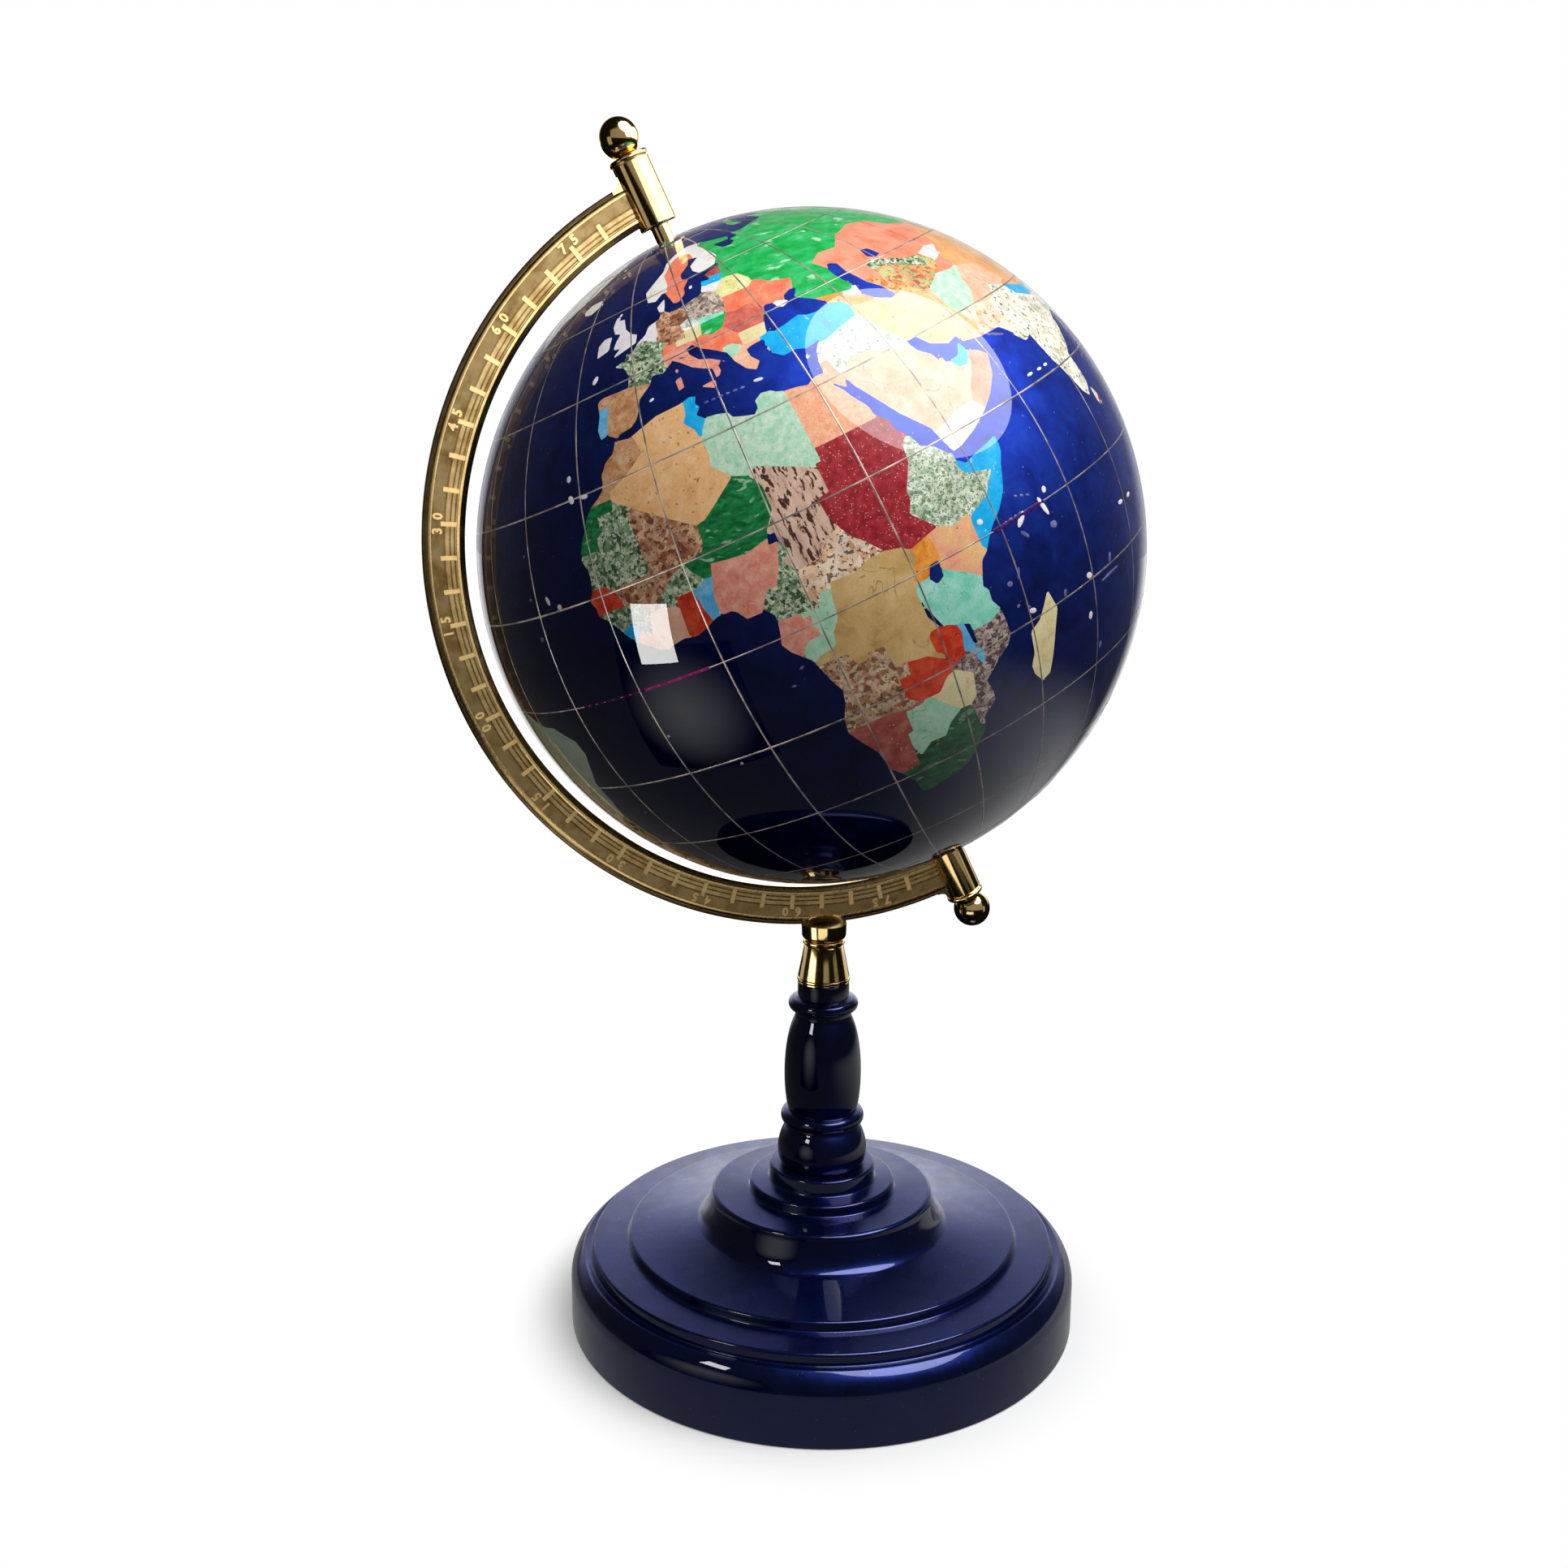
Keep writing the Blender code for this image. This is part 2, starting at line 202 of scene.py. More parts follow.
def join(name, objects):
    """One object from several that sit at the origin."""
    work = bmesh.new()
    for obj in objects:
        work.from_mesh(obj.data)
        bpy.data.objects.remove(obj, do_unlink=True)
    return mesh_object(name, work)


# ---------------------------------------------------------------- outlines

def arc(centre, size, start, end, count):
    """Points of an elliptical arc, its angles in degrees from the first axis."""
    points = []
    for step in range(count + 1):
        angle = math.radians(start + (end - start) * step / count)
        points.append((centre[0] + size[0] * math.cos(angle), centre[1] + size[1] * math.sin(angle)))
    return points


def bezier(start, handles, end, count):
    """Points of a cubic curve, both ends included."""
    corners = [Vector(point) for point in (start, handles[0], handles[1], end)]
    points = []
    for step in range(count + 1):
        t = step / count
        weights = ((1 - t) ** 3, 3 * t * (1 - t) ** 2, 3 * t * t * (1 - t), t ** 3)
        point = sum((weight * corner for weight, corner in zip(weights, corners)), Vector((0.0, 0.0)))
        points.append((point.x, point.y))
    return points


def outer_edge(radius, height, rounding, count=5):
    """The rounded outer edge of a turned step, from its top to its side."""
    return arc((radius - rounding, height - rounding), (rounding, rounding), 90.0, 0.0, count)


def inner_corner(radius, height, rounding, count=4):
    """The hollow where a turned step meets the surface below it, from its side outwards."""
    return arc((radius + rounding, height + rounding), (rounding, rounding), 180.0, 270.0, count)


def bead(edge_radius, full_radius, height, half_height, count=14):
    """A half-round bead."""
    return arc((edge_radius, height), (full_radius - edge_radius, half_height), 90.0, -90.0, count)


def scaled(*values):
    """Millimetres to metres."""
    return tuple(value * MM for value in values)


# ---------------------------------------------------------------- materials

def tint(code):
    """Linear colour from a six-figure colour code."""
    channels = [int(code[place:place + 2], 16) / 255.0 for place in (0, 2, 4)]
    linear = [value / 12.92 if value <= 0.04045 else ((value + 0.055) / 1.055) ** 2.4 for value in channels]
    return (*linear, 1.0)


class Nodes:
    """A node tree, built from short calls."""

    def __init__(self, tree):
        self.tree = tree

    def feed(self, socket, value):
        """Link a socket, or set its value."""
        if isinstance(value, bpy.types.NodeSocket):
            self.tree.links.new(value, socket)
        else:
            socket.default_value = value

    def node(self, kind, inputs=(), **settings):
        """A node with its settings and its inputs, as (name or number, value) pairs."""
        node = self.tree.nodes.new(kind)
        for name, value in settings.items():
            setattr(node, name, value)
        for key, value in inputs:
            self.feed(node.inputs[key], value)
        return node

    def maths(self, operation, first, second=0.0):
        """Arithmetic on two values."""
        return self.node("ShaderNodeMath", ((0, first), (1, second)), operation=operation).outputs[0]

    def product(self, first, second):
        """One value times another."""
        return self.maths("MULTIPLY", first, second)

    def vectors(self, operation, first, second=(0.0, 0.0, 0.0), scale=1.0):
        """Arithmetic on vectors."""
        node = self.node("ShaderNodeVectorMath", ((0, first), (1, second), (3, scale)), operation=operation)
        return node.outputs["Value" if operation in ("LENGTH", "DISTANCE", "DOT_PRODUCT") else "Vector"]

    def steps(self, fac, low, high, from_value=0.0, to_value=1.0):
        """A value that climbs smoothly from one level to another."""
        inputs = (("Value", fac), ("From Min", low), ("From Max", high),
                  ("To Min", from_value), ("To Max", to_value))
        return self.node("ShaderNodeMapRange", inputs, interpolation_type="SMOOTHSTEP").outputs["Result"]

    def choose(self, switch, off, on):
        """One of two values, by a switch."""
        return self.node("ShaderNodeMix", ((0, switch), (2, off), (3, on))).outputs[0]


class Finish(Nodes):
    """One material's node tree."""

    def __init__(self, name):
        self.material = bpy.data.materials.new(name)
        self.material.use_nodes = True
        super().__init__(self.material.node_tree)
        self.shader = self.tree.nodes["Principled BSDF"]
        self.place = self.node("ShaderNodeTexCoord").outputs["Object"]

    def noise(self, size, detail=3.0, rough=0.55, distortion=0.0, place=None):
        """Soft noise whose features are about `size` millimetres across."""
        inputs = (("Vector", place or self.place), ("Scale", 1.0 / (size * MM)), ("Detail", detail),
                  ("Roughness", rough), ("Distortion", distortion))
        return self.node("ShaderNodeTexNoise", inputs).outputs["Fac"]

    def cells(self, size, output="Distance", place=None):
        """Random cells about `size` millimetres across."""
        inputs = (("Vector", place or self.place), ("Scale", 1.0 / (size * MM)))
        return self.node("ShaderNodeTexVoronoi", inputs).outputs[output]

    def specks(self, size, edge, patch, keep, detail=2.0):
        """Small specks, each fading out over `edge`, kept only in patches of noise."""
        kept = self.steps(self.noise(patch, detail), *keep)
        return self.product(self.steps(self.cells(size), *edge), kept)

    def ramp(self, fac, stops):
        """Colours along a value, from (place, colour) pairs."""
        node = self.node("ShaderNodeValToRGB", (("Fac", fac),))
        elements = node.color_ramp.elements
        while len(elements) < len(stops):
            elements.new(1.0)
        for element, (place, colour) in zip(elements, stops):
            element.position = place
            element.color = colour
        return node.outputs["Color"]

    def blend(self, fac, first, second, mode="MIX"):
        """Two colours mixed."""
        inputs = ((0, fac), (6, first), (7, second))
        return self.node("ShaderNodeMix", inputs, data_type="RGBA", blend_type=mode).outputs[2]

    def warped(self, size, amount):
        """Coordinates pushed about by noise, by up to `amount` millimetres."""
        inputs = (("Vector", self.place), ("Scale", 1.0 / (size * MM)), ("Detail", 2.0))
        push = self.node("ShaderNodeTexNoise", inputs).outputs["Color"]
        centred = self.vectors("SUBTRACT", push, (0.5, 0.5, 0.5))
        return self.vectors("ADD", self.place, self.vectors("SCALE", centred, scale=2.0 * amount * MM))

    def stretched(self, turn, stretch, place=None):
        """Coordinates that turn a pattern and stretch it along its own axes."""
        inputs = (("Vector", place or self.place), ("Rotation", turn), ("Scale", stretch))
        return self.node("ShaderNodeMapping", inputs, vector_type="TEXTURE").outputs["Vector"]

    def bump(self, height, distance):
        """Relief from a height, `distance` millimetres deep."""
        inputs = (("Height", height), ("Distance", distance * MM))
        return self.node("ShaderNodeBump", inputs).outputs["Normal"]

    def glow(self, strength):
        """A white glow."""
        return self.node("ShaderNodeEmission", (("Strength", strength),)).outputs[0]

    def either(self, switch, off, on):
        """One of two surfaces, by a switch."""
        return self.node("ShaderNodeMixShader", ((0, switch), (1, off), (2, on))).outputs[0]

    def surface(self, shader):
        """Make a shader the material's surface."""
        self.feed(self.tree.nodes["Material Output"].inputs["Surface"], shader)
        return self.material

    def finish(self, colour, roughness, normal=None, **constants):
        """Feed the shader: varying colour, roughness and normal, and constants set on its sockets."""
        self.feed(self.shader.inputs["Base Color"], colour)
        self.feed(self.shader.inputs["Roughness"], roughness)
        if normal is not None:
            self.feed(self.shader.inputs["Normal"], normal)
        for name, value in constants.items():
            self.shader.inputs[name.replace("_", " ")].default_value = value
        return self.material


# A stone's name and figure, the size of its grain in millimetres, its four tones from dark to
# light, and the colour and share of its flecks or veins.
STONE_TABLE = """
tan_jasper cloud 3 8A5632 C4895A DDAE86 E8C8A4 6E4428 0.1
sand_jasper cloud 4 CC9258 F0B87A F8C892 FADAB0 B07840 0.1
malachite_dark band 2.2 063C1E 0E6834 1E8C4C 70B88A C8E8D0 0.01
malachite_deep band 3 05301C 124C2C 226A3E 5C9A72 8AB898 0.01
malachite band 4 048C34 12AA4A 38BE6C 90DCAC E0FCE8 0.02
green_grain grain 0.95 2E4A30 688A62 98B088 D0D8BE 26301E 0.18
pale_grain grain 0.9 748E68 A0B898 C2D2B8 DEE6D4 46583F 0.2
white_grain grain 1.2 9CB4A0 CCDAC8 E8ECE2 F4F4EE 6A8272 0.12
fawn_grain grain 1.2 6A5850 9C887C C0AE9E D8CCBC 54423A 0.16
pink_grain grain 1.3 483A3C 80666A A68E88 C4B6A8 2A2024 0.22
peach_grain grain 1.9 D09C74 EEC49C F6D8BA F8E2CC 3A2A20 0.22
pale_peach_grain grain 2.4 E8B088 F4CCA8 F8DCC4 FAE6D4 B07850 0.06
orange_grain grain 1.8 C45E38 E48850 EEA870 B4BC80 8A4C28 0.12
india grain 2 D0CCA8 F0ECD8 F8F6EC F6F0DC 4C4838 0.12
rhyolite stripe 1.9 B88C7C D8B29C E6C6B0 F2DCCC 50332B 0.44
brown_mottle grain 1.3 7A4630 AA6E50 C68E6A DAB08C 523024 0.16
angola_jasper grain 1.4 8C5C44 BA8866 D0A482 DEC4A2 64402E 0.14
garnet fleck 0.75 701420 98222C B0343C C85450 E4A498 0.24
rose fleck 1.4 8A3230 AE4E48 C46C60 D48A7A E8B8A8 0.14
brick vein 3 AC4A42 CC6054 DE7C6A EA9C86 8A342E 0.1
red cloud 3.4 A81C10 D0341E E25230 EC7A54 7A140C 0.06
coral vein 4 E05C3C F47A58 F89474 FAB09A C04028 0.1
carnelian vein 6 EC6C4A F88A68 FAA084 FCBCA6 C04C34 0.08
salmon vein 2.8 D87460 EA947E F4AE96 F8D0BC C04C48 0.16
peach vein 5 EAA07C F6B896 F9CCB0 FCE0CC D87C60 0.08
desert_peach cloud 1.6 EA8C66 F6AA82 FABE9A FDD8BE E08060 0.12
patch_peach cloud 6 E8847A F2A888 F2C484 F8DCC4 C86050 0.04
amber vein 7 D08A4C E8A662 F0B87C F6CCA0 B87038 0.08
orange cloud 3.6 D06C14 EE8E2C F8AC50 FAC884 A84C10 0.06
yellow cloud 4 CCC470 E4E092 EEEAB0 F4F2CC A09850 0.06
khaki vein 7 A47C44 D2AA6C DEBC80 E6CA98 6E4C22 0.12
cream vein 4 D4BC80 E8D8A0 F0E4B8 F4EACC E0A078 0.12
sage vein 4 A8C4A2 BED4B6 D0E0C4 E4EEDA 8EA484 0.12
mint vein 4 88C4A0 A6DAB6 C0E6CA D8F0DC 6E9478 0.12
mint_mottle cloud 2 84C69E A8DCBA D0E8D4 F0E4DE E4B4A8 0.12
teal vein 4 60CAAC 88DEC4 A8E8D6 C8F0E6 5C8C84 0.14
turquoise cloud 5 0494D8 08ACEC 20BAF4 64D0F8 B8ECFC 0.02
cyan cloud 4 0490D4 08A8EC 22B8F4 66CEF8 B8ECFC 0.02
sky cloud 3.6 2C90CC 50B0E4 7CC6EC ACDEF4 E8F4FA 0.06
howlite vein 5 DCD8CC EEECE4 F6F6F2 FCFCFA C8A050 0.12
worn_shell cloud 1.6 3A3A68 5C5C90 7C7CB0 A0A0CC 8080B0 0.05
pearl cloud 2.6 DCD0D8 ECE4E8 F4F0F2 FCFAFA C8B0C8 0.05
"""
STONES = {name: row for name, *row in map(str.split, STONE_TABLE.strip().splitlines())}


def grain_figure(finish, size, share, spread):
    """Grains of plain tones, with dark marks among them."""
    grains = finish.cells(size, "Color", finish.warped(1.5 * size, 0.5 * size))
    fac = finish.node("ShaderNodeSeparateColor", ((0, grains),)).outputs[0]
    ground = finish.ramp(fac, [(place, tone) for place, (_, tone) in zip((0.0, 0.25, 0.5, 0.8), spread)])
    patches = finish.steps(finish.noise(4.0 * size, 2.0), 0.4, 0.6, 0.86, 1.12)
    grey = finish.node("ShaderNodeCombineColor", ((0, patches), (1, patches), (2, patches))).outputs[0]
    marks = finish.steps(finish.noise(0.6 * size, 2.0), 0.62 - 0.3 * share, 0.68 - 0.3 * share)
    return finish.blend(1.0, ground, grey, "MULTIPLY"), finish.product(marks, 0.85)


def fleck_figure(finish, size, share, spread):
    """A close ground with small bright flecks."""
    ground = finish.ramp(finish.noise(2.5 * size, 4.0), spread)
    edge = (0.16 + 0.4 * share, 0.08 + 0.4 * share)
    return ground, finish.specks(size, edge, 2.0 * size, (0.46, 0.56), 1.0)


def band_figure(finish, size, share, spread):
    """Bands that wander and swell."""
    place = finish.stretched((0.1, -0.35, 0.0), (3.0, 2.0, 1.0), finish.warped(3.0 * size, 0.7 * size))
    ground = finish.ramp(finish.noise(0.55 * size, 4.0, 0.6, place=place), spread)
    streak = finish.steps(finish.noise(0.8 * size, 3.0, 0.5, place=place), 0.63 - share, 0.70 - share)
    return ground, finish.product(streak, 0.55)


def stripe_figure(finish, size, share, spread):
    """Long stripes, all one way."""
    place = finish.stretched((0.0, -0.50, 0.0), (1.0, 1.0, 7.0), finish.warped(1.6 * size, 0.45 * size))
    ground = finish.ramp(finish.noise(size, 3.0, place=place), spread)
    streak = finish.noise(0.6 * size, 3.0, place=place)
    return ground, finish.steps(streak, 0.66 - 0.3 * share, 0.72 - 0.3 * share)


def vein_figure(finish, size, share, spread):
    """Clouds crossed by broken veins."""
    ground = finish.ramp(finish.noise(size, 5.0, 0.62, 0.4), spread)
    ridge = finish.maths("ABSOLUTE", finish.maths("SUBTRACT", finish.noise(1.6 * size, 3.0, 0.5, 0.8), 0.5))
    broken = finish.steps(finish.noise(2.2 * size, 2.0), 0.48, 0.62)
    veins = finish.product(finish.steps(ridge, 0.05 * share + 0.008, 0.001), broken)
    return ground, finish.product(veins, 0.6)


def cloud_figure(finish, size, share, spread):
    """Soft clouds with small spots."""
    ground = finish.ramp(finish.noise(size, 5.0, 0.62, 0.4), spread)
    return ground, finish.steps(finish.noise(0.35 * size, 2.0), 0.68 - 0.4 * share, 0.76 - 0.4 * share)


FIGURES = {"grain": grain_figure, "fleck": fleck_figure, "band": band_figure, "stripe": stripe_figure,
           "vein": vein_figure, "cloud": cloud_figure}
TONE_STOPS = (0.18, 0.42, 0.62, 0.86)
CLEAR_COAT = {"IOR": 1.5, "Coat_Weight": 1.0, "Coat_Roughness": 0.0, "Coat_IOR": 1.5}


def stone_material(name):
    """A polished stone under a clear gloss coat."""
    figure, size, *tones, fleck, share = STONES[name]
    finish = Finish("stone_" + name)
    spread = [(stop, tint(tone)) for stop, tone in zip(TONE_STOPS, tones)]
    ground, marks = FIGURES[figure](finish, float(size), float(share), spread)
    colour = finish.blend(marks, ground, tint(fleck))
    darker = finish.blend(0.35, colour, (0.0, 0.0, 0.0, 1.0))
    colour = finish.blend(finish.steps(finish.noise(0.45, 2.0, 0.7), 0.35, 0.65, 0.0, 0.35), colour, darker)
    roughness = finish.steps(finish.noise(4.0), 0.3, 0.7, 0.30, 0.42)
    normal = finish.bump(finish.noise(1.2, 2.0), 0.004)
    return finish.finish(colour, roughness, normal, Specular_IOR_Level=0.1, **CLEAR_COAT)


def lapis_material(look):
    """The sea: deep blue stone with a metallic-blue glow and pale flecks under a clear coat."""
    finish = Finish("lapis_sea")
    red, green, blue = look.sea_colour
    dark = (0.45 * red, 0.45 * green, 0.45 * blue, 1.0)
    bright = (1.6 * red + 0.004, 1.7 * green + 0.01, 1.35 * blue, 1.0)
    cloud = finish.noise(9.0, 5.0, 0.6, 0.5)
    colour = finish.ramp(cloud, ((0.25, dark), (0.5, (red, green, blue, 1.0)), (0.8, bright)))
    colour = finish.blend(finish.specks(2.6, (0.10, 0.05), 7.0, (0.56, 0.64)), colour, tint("8FA0D8"))
    gold = finish.steps(finish.cells(3.7), 0.055, 0.03)
    colour = finish.blend(gold, colour, tint("C8A868"))
    roughness = finish.steps(finish.noise(3.0), 0.3, 0.7, 0.49, 0.55)
    normal = finish.bump(finish.noise(0.9, 2.0), 0.004)
    return finish.finish(colour, roughness, normal, Metallic=0.95, **CLEAR_COAT)


def lacquer_material(look):
    """Gloss navy lacquer with fine light specks in it."""
    finish = Finish("navy_lacquer_gloss")
    deep = (*look.lacquer_colour, 1.0)
    dark = (*(0.6 * channel for channel in look.lacquer_colour), 1.0)
    colour = finish.ramp(finish.noise(14.0, 4.0), ((0.3, dark), (0.7, deep)))
    colour = finish.blend(finish.specks(1.9, (0.09, 0.04), 5.0, (0.52, 0.62)), colour, tint("8C98C8"))
    roughness = finish.steps(finish.noise(6.0), 0.3, 0.7, 0.26, 0.34)
    ripple = finish.maths("ADD", finish.noise(16.0, 1.0), finish.product(finish.noise(1.4), 0.03))
    return finish.finish(colour, roughness, finish.bump(ripple, 0.05), Metallic=0.88, IOR=1.5,
                         Coat_Weight=0.85, Coat_Roughness=0.0, Coat_IOR=1.52)


def wire_material():
    """Dull inlaid wire, polished over with the stones."""
    finish = Finish("inlaid_wire")
    colour = finish.blend(finish.steps(finish.noise(6.0, 4.0), 0.35, 0.65), tint("6E6460"), tint("B4A698"))
    roughness = finish.steps(finish.noise(2.0), 0.3, 0.7, 0.42, 0.55)
    return finish.finish(colour, roughness, Metallic=0.55, **CLEAR_COAT)


def brass_material(name, look, rough, shade, dull, grain=0.0):
    """Brass: `shade` darkens it, `dull` is its share of brown and `grain` the depth of its cast skin."""
    finish = Finish(name)
    bright = (*(min(1.0, shade * channel) for channel in look.brass_colour), 1.0)
    aged = (0.52 * bright[0], 0.42 * bright[1], 0.26 * bright[2], 1.0)
    patches = finish.noise(5.0, 5.0, 0.6)
    colour = finish.blend(finish.steps(patches, 0.35, 0.75, 0.0, dull), bright, aged)
    hairlines = finish.noise(0.5, 3.0, 0.7, place=finish.stretched((0.0, 0.6, 0.0), (1.0, 1.0, 8.0)))
    worn = finish.maths("ADD", hairlines, finish.product(patches, 0.4))
    roughness = finish.steps(worn, 0.45, 0.95, 0.8 * rough, 1.25 * rough)
    normal = finish.bump(finish.maths("ADD", hairlines, patches), 0.001 + 0.02 * grain)
    return finish.finish(colour, roughness, normal, Metallic=1.0)


def enamel_material(name, dark, bright):
    """Enamel between two shades."""
    finish = Finish(name)
    colour = finish.ramp(finish.noise(1.5), ((0.3, tint(dark)), (0.7, tint(bright))))
    return finish.finish(colour, finish.steps(finish.noise(2.0), 0.3, 0.7, 0.2, 0.35))


# ---------------------------------------------------------------- the map

